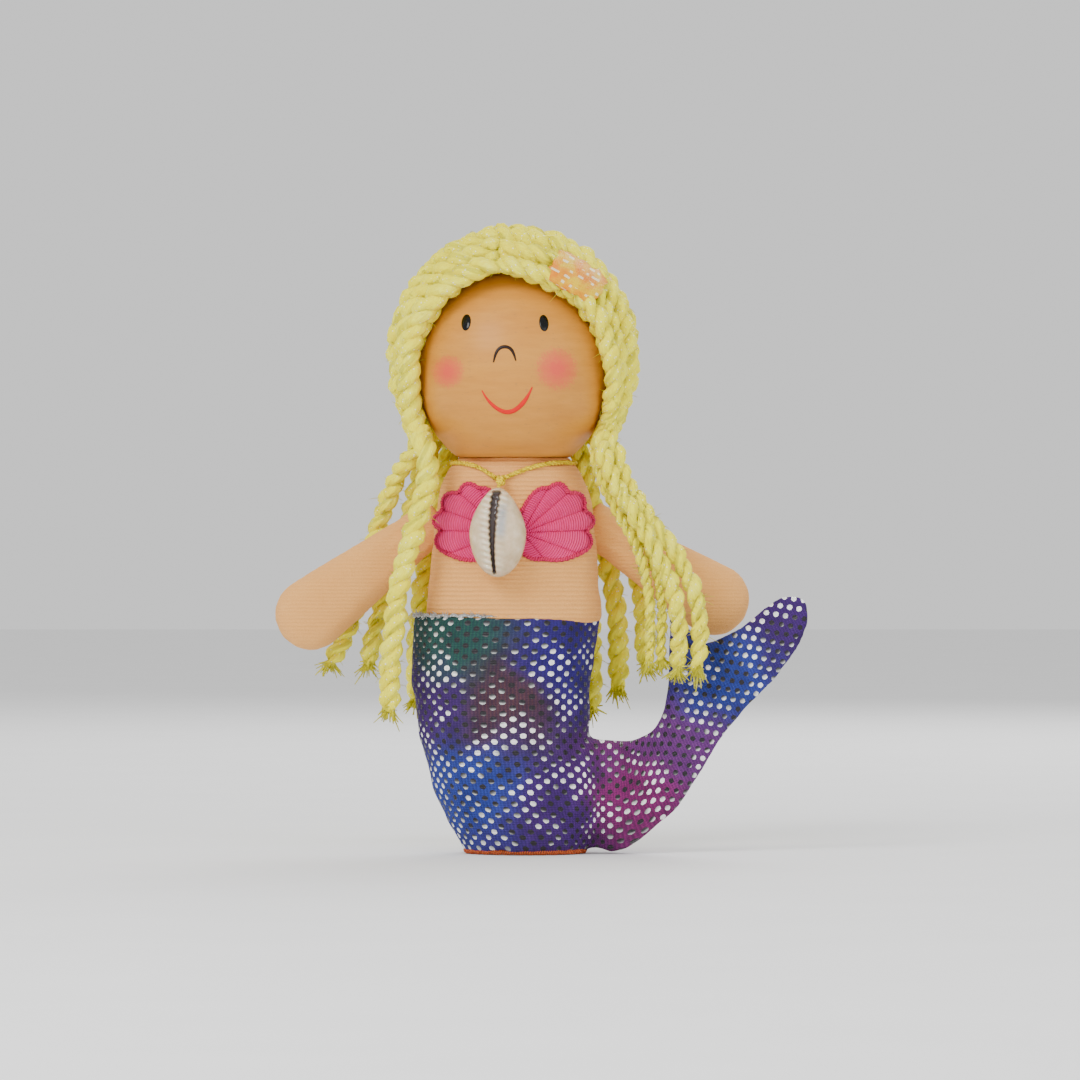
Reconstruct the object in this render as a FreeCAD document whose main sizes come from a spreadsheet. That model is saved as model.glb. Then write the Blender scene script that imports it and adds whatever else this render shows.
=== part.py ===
import FreeCAD, Part
import math
import os

import Sketcher
from FreeCAD import Placement, Rotation, Vector

# A finger puppet: a mermaid with a turned wooden head, a soft body worn on the finger,
# yarn hair and a stuffed tail. Origin: centre of the finger opening, at the lower edge of
# the tail. +Z runs up the finger to the head, the puppet faces -Y, and +X is the viewer's
# right. All lengths are millimetres.

os.makedirs("parts", exist_ok=True)
doc = FreeCAD.newDocument("finger_puppet")

SIZES = {
    "cloth": 0.6,
    "gap": 0.3,
    "finger_radius": 8.0,
    "lining": 0.5,
    "hem_height": 1.0,
    "waist_height": 50.0,
    "torso_base": 50.4,
    "neck_height": 82.6,
    "head_radius": 20.4,
    "head_half_height": 22.05,
    "head_centre": 101.0,
    "head_base": 83.0,
    "bore_radius": 8.68,
    "bore_top": 95.2,
    "tip_radius": 8.6,
    "tip_height": 94.6,
    "hair_half_width": 26.9,
    "hair_half_depth": 25.5,
    "hair_half_height": 28.3,
    "hair_centre": 104.2,
    "hair_base": 86.5,
    "hair_parting": -3.5,
    "hair_clear": 0.1,
    "window_half_width": 19.3,
    "window_half_height": 23.6,
    "window_centre": 98.0,
    "window_x": -0.4,
    "paint": 0.15,
    "eye_half_width": 0.98,
    "eye_half_height": 1.75,
    "eye_height": 110.7,
    "patch_length": 12.0,
    "patch_width": 7.6,
    "patch_thickness": 0.5,
    "patch_clear": 0.05,
    "patch_x": 13.3,
    "patch_height": 120.2,
    "patch_tilt": 30.0,
    "arm_root_radius": 5.8,
    "arm_hand_radius": 8.3,
    "arm_left_length": 25.0,
    "arm_right_length": 22.7,
    "arm_thickness": 8.4,
    "arm_round": 3.4,
    "arm_hinge": 22.6,
    "arm_hinge_height": 65.3,
    "arm_depth": 5.0,
    "arm_left_droop": 37.0,
    "arm_right_droop": 32.0,
    "stalk_start": 22.0,
    "stalk_half_depth": 8.3,
    "fluke_half_depth": 3.0,
    "fluke_taper_end": 31.0,
    "bridge_half_width": 16.9,
    "bridge_half_depth": 11.7,
    "bridge_x": -0.6,
    "tail_hinge": 18.5,
    "tail_swish": 11.0,
    "embroidery": 0.8,
    "shell_half_width": 5.75,
    "shell_half_height": 9.3,
    "shell_half_depth": 3.9,
    "shell_x": -3.25,
    "shell_y": -15.6,
    "shell_height": 67.3,
    "slot_width": 1.1,
    "slot_length": 15.6,
    "slot_depth": 4.0,
    "slot_offset": 1.2,
    "slot_inset": 1.8,
    "knot_half_width": 1.2,
    "knot_half_depth": 0.9,
    "knot_half_height": 1.0,
    "knot_x": -2.7,
    "knot_y": -12.6,
    "knot_height": 77.9,
    "thread_radius": 0.5,
}

sheet = doc.addObject("Spreadsheet::Sheet", "Sizes")
for row, (alias, value) in enumerate(SIZES.items(), start=1):
    sheet.set(f"A{row}", alias)
    sheet.set(f"B{row}", str(value))
    sheet.setAlias(f"B{row}", alias)
doc.recompute()


def size(alias):
    """A driving dimension, read back from the sheet."""
    return float(getattr(sheet, alias))


def bound(kind, name, **expressions):
    """A document object whose properties follow the sheet; x, y and z place it."""
    made = doc.addObject(kind, name)
    for prop, expression in expressions.items():
        path = f".Placement.Base.{prop}" if prop in ("x", "y", "z") else prop
        made.setExpression(path, expression)
    return made


def boolean(kind, name, base, tool):
    """base minus tool (Part::Cut) or what both share (Part::Common)."""
    made = doc.addObject(kind, name)
    made.Base = base
    made.Tool = tool
    return made


def cut(name, base, tool):
    return boolean("Part::Cut", name, base, tool)


def common(name, base, tool):
    return boolean("Part::Common", name, base, tool)


def block(name, x0, x1, y0, y1, z0, z1):
    """A plain box between two corners, used to trim other shapes."""
    made = doc.addObject("Part::Box", name)
    made.Length = x1 - x0
    made.Width = y1 - y0
    made.Height = z1 - z0
    made.Placement = Placement(Vector(x0, y0, z0), Rotation())
    return made


def ellipsoid(name, half_x, half_y, half_z, height):
    """An ellipsoid on the Z axis; every argument is an expression."""
    return bound(
        "Part::Ellipsoid", name, Radius2=half_x, Radius3=half_y, Radius1=half_z, z=height
    )


def extrude(name, profile, length, along=None):
    """A solid of a profile: along a direction, or else to both sides of its plane."""
    made = bound("Part::Extrusion", name, LengthFwd=length)
    made.Base = profile
    made.Solid = True
    if along is None:
        made.DirMode = "Normal"
        made.Symmetric = True
    else:
        made.DirMode = "Custom"
        made.Dir = along
    return made


FAR = 200.0  # well outside the puppet
# Lengths of slabs that trim other shapes, each longer than what it trims.
TAIL_REACH = "30"
FLUKE_REACH = "40"
HEAD_REACH = "60"
UP = Vector(0, 0, 1)
FORWARD = Vector(0, -1, 0)
FRONT_PLANE = Rotation(Vector(1, 0, 0), 90)  # sketch x is row X, sketch y is row Z, normal -Y
NODES = []


def node(made, label):
    """Marks a finished piece, which is written to its own file."""
    made.Label = label
    NODES.append(made)
    return made


def halves(solid, front_label, back_label, turn=Placement()):
    """Splits a cover at its side seams into a front and a back panel."""
    for label, low, high in ((front_label, -FAR, 0.0), (back_label, 0.0, FAR)):
        side = block(label + "_side", -FAR, FAR, low, high, -FAR, FAR)
        side.Placement = turn.multiply(side.Placement)
        node(common(label + "_panel", solid, side), label)


def ring_loft(name, sections, grow="0"):
    """A soft sack through level ellipses: (height, left, right, half depth) at each."""
    rings = []
    for index, (height, left, right, depth) in enumerate(sections):
        ring = doc.addObject("Part::Ellipse", f"{name}_ring{index}")
        ring.Placement = Placement(Vector((left + right) / 2, 0, height), Rotation())
        ring.setExpression("MajorRadius", f"{(right - left) / 2} + {grow}")
        ring.setExpression("MinorRadius", f"{depth} + {grow}")
        rings.append(ring)
    made = doc.addObject("Part::Loft", name)
    made.Sections = rings
    made.Solid = True
    made.Ruled = False
    return made


def hollow_sack(name, sections):
    """The outer sack, the space inside its cloth, and the cloth between them."""
    outer = ring_loft(name + "_outer", sections)
    inner = ring_loft(name + "_inner", sections, grow="0 - Sizes.cloth")
    return outer, inner, cut(name + "_cloth", outer, inner)


def sleeve(name, radius, wall, low, high):
    """An open tube on the finger's axis; every argument is an expression."""
    outer = bound("Part::Cylinder", name + "_outer", Radius=f"{radius} + {wall}")
    inner = bound("Part::Cylinder", name + "_inner", Radius=radius)
    for made in (outer, inner):
        made.setExpression("Height", f"{high} - ({low})")
        made.setExpression(".Placement.Base.z", low)
    return outer, cut(name + "_tube", outer, inner)


# ---- Tail sack, worn round the finger below the waist --------------------------------
TAIL_SECTIONS = [
    (1.0, -10.6, 15.4, 10.0),
    (6.5, -14.0, 16.0, 10.8),
    (13.0, -17.2, 16.0, 11.4),
    (24.0, -20.3, 15.8, 11.6),
    (36.0, -21.8, 16.3, 11.4),
    (50.0, -21.4, 18.5, 11.0),
]
tail_outer, tail_inner, tail_cloth = hollow_sack("tail", TAIL_SECTIONS)
halves(tail_cloth, "tail_front_panel", "tail_back_panel")

lining_outer, lining_lower = sleeve(
    "lower_lining", "Sizes.finger_radius", "Sizes.lining", "0", "Sizes.waist_height"
)
node(lining_lower, "finger_pocket_lining")
node(cut("tail_stuffing_ring", tail_inner, lining_outer), "tail_stuffing")


def oval_ring(name, section, outward, inward, low, high):
    """A flat oval band round a section of a sack."""
    _, left, right, depth = section
    solids = []
    for part, grow in (("outer", outward), ("inner", -inward)):
        oval = doc.addObject("Part::Ellipse", f"{name}_{part}")
        oval.MajorRadius = (right - left) / 2 + grow
        oval.MinorRadius = depth + grow
        oval.Placement = Placement(Vector((left + right) / 2, 0, 0), Rotation())
        oval.setExpression(".Placement.Base.z", low)
        solids.append(extrude(f"{name}_{part}_solid", oval, f"{high} - ({low})", UP))
    return cut(name, *solids)


node(
    oval_ring("hem", TAIL_SECTIONS[0], 0.1, 0.9, "0", "Sizes.hem_height - 0.02"),
    "hem_overlock",
)
waist_outer = oval_ring(
    "waist_edge_ring", TAIL_SECTIONS[-1], 0.45, 0.05, "Sizes.waist_height - 0.9",
    "Sizes.waist_height",
)
node(cut("waist_edge_trim", waist_outer, tail_outer), "waist_raw_edge")

# ---- Tail end: stalk and two-lobed fluke, flat and lightly stuffed -------------------
# Side outlines from the stalk's cut end to the lobes, as (x, z) in the flat tail.
OUTER_EDGE = [(22.0, 0.7), (27.0, 2.5), (35.0, 9.2), (40.3, 17.4), (44.0, 23.7), (49.2, 30.0),
              (55.6, 36.3), (61.0, 43.7), (63.2, 50.0)]
RIGHT_TIP = [(63.2, 50.0), (61.3, 53.9), (57.8, 54.8)]
RIGHT_LOBE_TOP = [(57.8, 54.8), (53.4, 52.0), (48.0, 47.9), (43.4, 45.6), (39.8, 44.4)]
LEFT_LOBE_TOP = [(39.8, 44.4), (37.2, 47.2), (35.0, 51.3)]
LEFT_TIP = [(35.0, 51.3), (33.5, 51.9), (32.5, 50.4)]
INNER_EDGE = [(32.5, 50.4), (32.5, 36.3), (31.8, 30.0), (29.9, 25.9), (25.8, 23.6), (22.0, 23.3)]


def smooth(points):
    """One smooth curve through the points."""
    curve = Part.BSplineCurve()
    curve.interpolate([Vector(x, z, 0) for x, z in points])
    return curve


def profile(name, curves, placement):
    """A sketch holding a closed outline of given curves."""
    made = doc.addObject("Sketcher::SketchObject", name)
    made.addGeometry(curves, False)
    made.Placement = placement
    return made


def all_below(name, level):
    """A block that fills everything under a level."""
    made = bound("Part::Box", name, Length=f"2 * {FAR}", Width=f"2 * {FAR}", Height=str(FAR))
    made.Placement = Placement(Vector(-FAR, -FAR, 0), Rotation())
    made.setExpression(".Placement.Base.z", f"{level} - {FAR}")
    return made


def swished(local):
    """Turns a placement with the tail end, which stands a little forward of the body."""
    centre = Vector(size("tail_hinge"), 0, 0)
    turn = Rotation(Vector(0, 0, 1), -size("tail_swish"))
    return Placement(Vector(), turn, centre).multiply(local)


def planform(name, shrink):
    """The tail end seen from above: deep at the stalk, thin from the taper's end on."""
    start = size("stalk_start") - 1.0  # a little beyond the cut end
    deep = size("stalk_half_depth") - shrink
    thin = size("fluke_half_depth") - shrink
    taper = size("fluke_taper_end")
    corners = [(start, -deep), (taper, -thin), (FAR, -thin), (FAR, thin), (taper, thin),
               (start, deep)]
    lines = []
    for (x0, y0), (x1, y1) in zip(corners, corners[1:] + corners[:1]):
        lines.append(Part.LineSegment(Vector(x0, y0, 0), Vector(x1, y1, 0)))
    level = profile(name, lines, swished(Placement(Vector(0, 0, -FAR / 2), Rotation())))
    return extrude(name + "_solid", level, str(FAR), UP)


FLUKE_EDGES = [OUTER_EDGE, RIGHT_TIP, RIGHT_LOBE_TOP, LEFT_LOBE_TOP, LEFT_TIP, INNER_EDGE]


def inward(path):
    """The direction into the fluke at each point of one of its edges."""
    curve = smooth(path)
    normals = []
    for x, z in path:
        tangent = curve.tangent(curve.parameter(Vector(x, z, 0)))[0]
        normals.append(Vector(-tangent.y, tangent.x, 0))
    return normals


def inset(paths, distance):
    """The edges moved inwards by a distance; the stalk's cut end stays where it is."""
    normals = [inward(path) for path in paths]
    moved = []
    for index, path in enumerate(paths):
        points = []
        for place, (x, z) in enumerate(path):
            here = normals[index][place]
            other = here
            if place == 0 and index > 0:
                other = normals[index - 1][-1]
            if place == len(path) - 1 and index < len(paths) - 1:
                other = normals[index + 1][0]
            step = (here + other) * (distance / (1 + here.dot(other)))
            if (index, place) in ((0, 0), (len(paths) - 1, len(path) - 1)):
                step = Vector(0, distance / here.y, 0)
            points.append((x + step.x, z + step.y))
        moved.append(points)
    return moved


def side_outline(name, paths):
    """A closed outline of smooth edges and the straight cut end of the stalk."""
    curves = [smooth(path) for path in paths]
    end, start = paths[-1][-1], paths[0][0]
    curves.append(Part.LineSegment(Vector(*end, 0), Vector(*start, 0)))
    return profile(name, curves, swished(Placement(Vector(), FRONT_PLANE)))


fluke_outline = side_outline("fluke_outline", FLUKE_EDGES)
fluke_inner_outline = side_outline("fluke_inner_outline", inset(FLUKE_EDGES, size("cloth")))
fluke_outer = common(
    "fluke_outer", extrude("fluke_slab", fluke_outline, FLUKE_REACH), planform("fluke_plan", 0)
)
fluke_inner = common(
    "fluke_inner",
    extrude("fluke_inner_slab", fluke_inner_outline, FLUKE_REACH),
    planform("fluke_inner_plan", size("cloth")),
)
halves(
    cut("fluke_cloth", fluke_outer, fluke_inner),
    "fluke_front_panel",
    "fluke_back_panel",
    swished(Placement()),
)
node(fluke_inner, "fluke_stuffing")

# The soft bend between sack and stalk, where the tail curls.
BRIDGE_EDGES = [(9.0, 1.4), (20.0, 1.4), (20.0, 23.6), (9.0, 25.6)]
bridge_lines = []
for (ax, az), (bx, bz) in zip(BRIDGE_EDGES, BRIDGE_EDGES[1:] + BRIDGE_EDGES[:1]):
    bridge_lines.append(Part.LineSegment(Vector(ax, az, 0), Vector(bx, bz, 0)))
bridge_outline = profile("bridge_outline", bridge_lines, Placement(Vector(), FRONT_PLANE))
bridge_slab = extrude("bridge_slab", bridge_outline, "2 * Sizes.stalk_half_depth")
# An upright oval that stands clear of the sack all the way up beside the bend.
bridge_oval = bound(
    "Part::Ellipse", "bridge_oval", MajorRadius="Sizes.bridge_half_width",
    MinorRadius="Sizes.bridge_half_depth", x="Sizes.bridge_x",
)
bridge_room = extrude("bridge_room", bridge_oval, TAIL_REACH, UP)
node(cut("bridge", bridge_slab, bridge_room), "tail_bend_stuffing")

# ---- Torso tube -------------------------------------------------------------------
TORSO_SECTIONS = [
    (50.4, -18.4, 18.6, 10.6),
    (62.0, -17.5, 17.7, 10.6),
    (70.0, -16.8, 17.0, 10.5),
    (76.0, -15.7, 15.9, 10.3),
    (80.0, -14.0, 14.1, 10.0),
    (82.6, -12.1, 12.1, 9.8),
]
torso_outer, torso_inner, torso_cloth = hollow_sack("torso", TORSO_SECTIONS)
node(torso_cloth, "torso_cover")
upper_outer, upper_lining = sleeve(
    "upper_lining", "Sizes.finger_radius", "Sizes.lining", "Sizes.torso_base", "Sizes.neck_height"
)
node(upper_lining, "finger_pocket_upper")
node(cut("torso_stuffing_ring", torso_inner, upper_outer), "torso_stuffing")

# The pocket's closed tip stands up inside the head and turns there.
tip_outer = bound("Part::Cylinder", "tip_outer", Radius="Sizes.tip_radius", z="Sizes.neck_height")
tip_outer.setExpression("Height", "Sizes.tip_height - Sizes.neck_height")
tip_inner = bound(
    "Part::Cylinder", "tip_inner", Radius="Sizes.tip_radius - Sizes.cloth", z="Sizes.neck_height"
)
tip_inner.setExpression("Height", "Sizes.tip_height - Sizes.neck_height - Sizes.cloth")
node(cut("tip_cup", tip_outer, tip_inner), "finger_pocket_tip")

# ---- Embroidered shells on the chest ----------------------------------------------
torso_raised = ring_loft("torso_raised", TORSO_SECTIONS, grow="Sizes.embroidery")
chest_skin = cut("chest_skin", torso_raised, torso_outer)
# Scallops of the viewer's right shell as (start, crown, end), then its lower edge.
SCALLOPS = [
    ((1.6, 71.5), (4.3, 75.6), (7.0, 76.4)),
    ((7.0, 76.4), (9.5, 77.4), (11.2, 75.5)),
    ((11.2, 75.5), (14.0, 74.9), (14.4, 72.0)),
    ((14.4, 72.0), (16.3, 69.8), (14.8, 67.7)),
    ((14.8, 67.7), (15.8, 64.9), (13.4, 62.8)),
]
HEM_OF_SHELL = [(13.4, 62.8), (9.8, 61.7), (2.1, 62.4), (1.6, 71.5)]


def shell_patch(label, side):
    """A scalloped fan; side is 1 for the viewer's right and -1 for the left."""
    curves = []
    for arc in SCALLOPS:
        curves.append(Part.Arc(*[Vector(side * x, z, 0) for x, z in arc]))
    for (x0, z0), (x1, z1) in zip(HEM_OF_SHELL, HEM_OF_SHELL[1:]):
        curves.append(Part.LineSegment(Vector(side * x0, z0, 0), Vector(side * x1, z1, 0)))
    outline = profile(label + "_outline", curves, Placement(Vector(), FRONT_PLANE))
    node(common(label + "_patch", extrude(label + "_slab", outline, TAIL_REACH, FORWARD), chest_skin), label)


shell_patch("bra_shell_left", -1)
shell_patch("bra_shell_right", 1)

# ---- Wooden head -------------------------------------------------------------------
ball = ellipsoid(
    "ball", "Sizes.head_radius", "Sizes.head_radius", "Sizes.head_half_height",
    "Sizes.head_centre",
)
under_head = all_below("under_head", "Sizes.head_base")
bore = bound("Part::Cylinder", "head_bore", Radius="Sizes.bore_radius",
             z="Sizes.head_base - Sizes.gap")
bore.setExpression("Height", "Sizes.bore_top - Sizes.head_base + Sizes.gap")
node(cut("ball_bored", cut("ball_flat", ball, under_head), bore), "head_ball")

# Painted features: thin films on the ball, cut from one film over all of it.
ball_film = ellipsoid(
    "ball_film", "Sizes.head_radius + Sizes.paint", "Sizes.head_radius + Sizes.paint",
    "Sizes.head_half_height + Sizes.paint", "Sizes.head_centre",
)
paint_film = cut("paint_film", ball_film, ball)


def painted(label, outline):
    """Keeps the film inside an outline drawn on the face."""
    node(common(label + "_film", extrude(label + "_slab", outline, HEAD_REACH, FORWARD), paint_film), label)


for label, eye_x, lean in (("eye_left", -9.8, 4.0), ("eye_right", 6.35, -4.0)):
    eye = bound("Part::Ellipse", label + "_outline")
    eye.setExpression("MajorRadius", "Sizes.eye_half_height")
    eye.setExpression("MinorRadius", "Sizes.eye_half_width")
    upright = Rotation(Vector(0, 0, 1), 90 - lean)
    eye.Placement = Placement(Vector(eye_x, 0, size("eye_height")), FRONT_PLANE.multiply(upright))
    painted(label, eye)


def crescent(name, left, right, outer_crown, inner_crown):
    """Two arcs from the same end points, for a line that tapers to both ends."""
    ends = Vector(*left, 0), Vector(*right, 0)
    arcs = [Part.Arc(ends[0], Vector(*crown, 0), ends[1]) for crown in (outer_crown, inner_crown)]
    return profile(name, arcs, Placement(Vector(), FRONT_PLANE))


painted("nose", crescent("nose_line", (-4.0, 102.4), (0.5, 102.7), (-1.8, 105.3), (-1.8, 104.8)))
painted("smile", crescent("smile_line", (-6.6, 96.7), (4.0, 97.4), (-1.0, 92.4), (-1.0, 93.3)))

# ---- Hair on the head --------------------------------------------------------------
wig = ellipsoid(
    "wig", "Sizes.hair_half_width", "Sizes.hair_half_depth", "Sizes.hair_half_height",
    "Sizes.hair_centre",
)
scalp = ellipsoid(
    "scalp", "Sizes.head_radius + Sizes.hair_clear", "Sizes.head_radius + Sizes.hair_clear",
    "Sizes.head_half_height + Sizes.hair_clear", "Sizes.head_centre",
)
face_edge = bound(
    "Part::Ellipse", "face_edge", MajorRadius="Sizes.window_half_height",
    MinorRadius="Sizes.window_half_width",
)
FACE_BACK = -2.0  # the opening for the face reaches this far back
face_edge.Placement = Placement(
    Vector(size("window_x"), FACE_BACK, size("window_centre")),
    FRONT_PLANE.multiply(Rotation(Vector(0, 0, 1), 90)),
)
face_window = extrude("face_window", face_edge, HEAD_REACH, FORWARD)
under_hair = all_below("under_hair", "Sizes.hair_base")
wig_open = cut("wig_open", cut("wig_hollow", cut("wig_level", wig, under_hair), scalp), face_window)
parting = size("hair_parting")
for label, low, high in (("hair_crown_left", -FAR, parting), ("hair_crown_right", parting, FAR)):
    side = block(label + "_side", low, high, -FAR, FAR, -FAR, FAR)
    node(common(label + "_half", wig_open, side), label)

# A woven patch lies on the hair, tilted down to the right.
HAIR_HALVES = ("Sizes.hair_half_width", "Sizes.hair_half_depth", "Sizes.hair_half_height")
patch_outer = ellipsoid(
    "patch_outer", *[f"{half} + Sizes.patch_thickness + Sizes.patch_clear" for half in HAIR_HALVES],
    "Sizes.hair_centre",
)
patch_bed = ellipsoid(
    "patch_bed", *[f"{half} + Sizes.patch_clear" for half in HAIR_HALVES], "Sizes.hair_centre"
)
patch_slab = bound("Part::Box", "patch_slab", Length="Sizes.patch_length",
                   Width="Sizes.patch_width", Height="40")
patch_tilt = FRONT_PLANE.multiply(Rotation(Vector(0, 0, 1), -size("patch_tilt")))
patch_slab.Placement = Placement(
    Vector(size("patch_x"), 0, size("patch_height")), patch_tilt
).multiply(Placement(Vector(-size("patch_length") / 2, -size("patch_width") / 2, 0), Rotation()))
node(common("patch", patch_slab, cut("patch_skin", patch_outer, patch_bed)), "hair_patch")

# ---- Arms ---------------------------------------------------------------------------


def arm_body(name, length_alias, shrink):
    """A paddle: round at the shoulder, wider and round at the hand, with soft edges."""
    body = doc.addObject("PartDesign::Body", name)
    plane = [f for f in body.Origin.OriginFeatures if f.Role == "XZ_Plane"][0]
    sketch = body.newObject("Sketcher::SketchObject", name + "_sketch")
    sketch.AttachmentSupport = (plane, [""])
    sketch.MapMode = "FlatFace"
    root = size("arm_root_radius") - shrink
    hand = size("arm_hand_radius") - shrink
    reach = size(length_alias)
    lean = math.asin((hand - root) / reach)
    top = math.pi / 2 + lean
    centre = Vector(reach, 0, 0)

    def on(middle, radius, angle):
        return middle + Vector(radius * math.cos(angle), radius * math.sin(angle), 0)

    circle_root = Part.Circle(Vector(), Vector(0, 0, 1), root)
    circle_hand = Part.Circle(centre, Vector(0, 0, 1), hand)
    sketch.addGeometry(Part.ArcOfCircle(circle_root, top, 2 * math.pi - top), False)
    sketch.addGeometry(
        Part.LineSegment(on(Vector(), root, -top), on(centre, hand, -top)), False
    )
    sketch.addGeometry(Part.ArcOfCircle(circle_hand, -top, top), False)
    sketch.addGeometry(Part.LineSegment(on(centre, hand, top), on(Vector(), root, top)), False)
    joins = [(0, 2, 1, 1), (1, 2, 2, 1), (2, 2, 3, 1), (3, 2, 0, 1)]
    for first, first_end, second, second_end in joins:
        sketch.addConstraint(Sketcher.Constraint("Tangent", first, first_end, second, second_end))
    sketch.addConstraint(Sketcher.Constraint("Coincident", 0, 3, -1, 1))
    sketch.addConstraint(Sketcher.Constraint("PointOnObject", 2, 3, -1))
    wanted = (
        (Sketcher.Constraint("Radius", 0, root), f"Sizes.arm_root_radius - {shrink}"),
        (Sketcher.Constraint("Radius", 2, hand), f"Sizes.arm_hand_radius - {shrink}"),
        (Sketcher.Constraint("DistanceX", 0, 3, 2, 3, reach), f"Sizes.{length_alias}"),
    )
    for constraint, expression in wanted:
        index = sketch.addConstraint(constraint)
        sketch.setExpression(f"Constraints[{index}]", expression)
    pad = body.newObject("PartDesign::Pad", name + "_pad")
    pad.Profile = sketch
    pad.SideType = "Symmetric"
    pad.setExpression("Length", f"Sizes.arm_thickness - 2 * {shrink}")
    doc.recompute()
    rim = []
    half = size("arm_thickness") / 2 - shrink
    for index, edge in enumerate(pad.Shape.Edges, start=1):
        if abs(abs(edge.CenterOfMass.y) - half) < 1e-3:
            rim.append(f"Edge{index}")
    soft = body.newObject("PartDesign::Fillet", name + "_round")
    soft.Base = (pad, rim)
    soft.setExpression("Radius", f"Sizes.arm_round - {shrink}")
    body.Tip = soft
    return body


def arm(label, side):
    """side is -1 for the viewer's left arm and 1 for the right."""
    droop = size(label + "_droop") if side > 0 else 180 - size(label + "_droop")
    place = Placement(
        Vector(side * size("arm_hinge"), size("arm_depth"), size("arm_hinge_height")),
        Rotation(Vector(0, 1, 0), droop),
    )
    outer = arm_body(label + "_outer", label + "_length", 0)
    inner = arm_body(label + "_inner", label + "_length", size("cloth"))
    outer.Placement = place
    inner.Placement = place
    node(cut(label + "_skin", outer, inner), label + "_cover")
    node(inner, label + "_stuffing")


arm("arm_left", -1)
arm("arm_right", 1)

# ---- Cowrie pendant -----------------------------------------------------------------
shell_solid = ellipsoid(
    "shell_solid", "Sizes.shell_half_width", "Sizes.shell_half_depth",
    "Sizes.shell_half_height", "Sizes.shell_height",
)
shell_solid.setExpression(".Placement.Base.x", "Sizes.shell_x")
shell_solid.setExpression(".Placement.Base.y", "Sizes.shell_y")
slot = bound(
    "Part::Box", "slot", Length="Sizes.slot_width", Width="Sizes.slot_depth",
    Height="Sizes.slot_length", x="Sizes.shell_x - Sizes.slot_offset - Sizes.slot_width / 2",
    y="Sizes.shell_y - Sizes.slot_inset - Sizes.slot_depth",
    z="Sizes.shell_height - Sizes.slot_length / 2",
)
node(cut("shell_slotted", shell_solid, slot), "cowrie_shell")

knot = ellipsoid(
    "knot", "Sizes.knot_half_width", "Sizes.knot_half_depth", "Sizes.knot_half_height",
    "Sizes.knot_height",
)
knot.setExpression(".Placement.Base.x", "Sizes.knot_x")
knot.setExpression(".Placement.Base.y", "Sizes.knot_y")
node(knot, "pendant_knot")

# ---- Threads and yarn ---------------------------------------------------------------


def rounded_path(route):
    """Straight runs joined by tangent arcs, each as large as its two runs allow."""
    points = [Vector(*p) for p in route]
    edges = []
    radii = []
    here = points[0]
    for before, corner, after in zip(points, points[1:], points[2:]):
        back = before - corner
        ahead = after - corner
        trim = 0.45 * min(back.Length, ahead.Length)
        turn = math.pi - back.getAngle(ahead)
        radii.append(trim / math.tan(turn / 2))
        back.normalize()
        ahead.normalize()
        first = corner + back * trim
        last = corner + ahead * trim
        middle = back + ahead
        middle.normalize()
        bulge = radii[-1] / math.cos(turn / 2) - radii[-1]
        edges.append(Part.LineSegment(here, first).toShape())
        edges.append(Part.Arc(first, corner + middle * bulge, last).toShape())
        here = last
    edges.append(Part.LineSegment(here, points[-1]).toShape())
    return Part.Wire(edges), radii


def tube(route, radius):
    """A round tube along a route; also gives its length and tightest radius."""
    wire, radii = rounded_path(route)
    start = Vector(*route[0])
    along = Vector(*route[1]) - start
    circle = Part.Wire(Part.makeCircle(radius, start, along))
    solid = wire.makePipeShell([circle], True, True)
    wanted = math.pi * radius**2 * wire.Length
    if abs(solid.Volume / wanted - 1) > 0.01:
        raise RuntimeError(f"a tube holds {solid.Volume:.1f} mm3 and not {wanted:.1f}")
    return solid, wire.Length, min(radii)


def tubes(label, routes, radius):
    """A node of one or more separate tubes."""
    made = doc.addObject("Part::Feature", label + "_tubes")
    solids = []
    for route in routes:
        solid, length, tightest = tube(route, radius)
        solids.append(solid)
        print(f"{label}: length {length:.1f}, tightest radius {tightest:.1f}, "
              f"{tightest / (2 * radius):.1f} diameters")
    made.Shape = solids[0] if len(solids) == 1 else Part.makeCompound(solids)
    made.Placement = Placement()
    return node(made, label)


def surface_depth(start, outward):
    """How far the torso's surface is from a point inside it, in a level direction."""
    ray = Part.makeLine(start, start + outward * FAR)
    return ray.common(torso_outer.Shape).Length


def chest_point(x, height, proud):
    """A point standing proud of the torso's front by so much."""
    middle = Vector(x, 0, height)
    return tuple(middle + FORWARD * (surface_depth(middle, FORWARD) + proud))


def neck_point(degrees, height, proud):
    """A point standing proud of the neck, in a direction seen from above."""
    outward = Rotation(UP, degrees).multVec(Vector(1, 0, 0))
    middle = Vector(0, 0, height)
    return tuple(middle + outward * (surface_depth(middle, outward) + proud))


doc.recompute()
PROUD = size("thread_radius") + 0.15
NECKLACE_HEIGHT = 81.9
NECK_STEP = 31.25  # degrees from one point of the necklace to the next, seen from above
NECK_BULGE = 0.75  # how far a straight run between two of them comes nearer to the neck
necklace_route = (
    [chest_point(-1.9, 78.6, PROUD + 0.6), chest_point(2.2, 80.6, PROUD + NECK_BULGE),
     chest_point(6.8, 81.7, PROUD + NECK_BULGE)]
    + [neck_point(-35 + step * NECK_STEP, NECKLACE_HEIGHT, PROUD + NECK_BULGE)
       for step in range(9)]
    + [chest_point(-6.6, 81.0, PROUD + NECK_BULGE), chest_point(-3.6, 78.6, PROUD + 0.6)]
)
tubes("necklace_thread", [necklace_route], size("thread_radius"))

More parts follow.
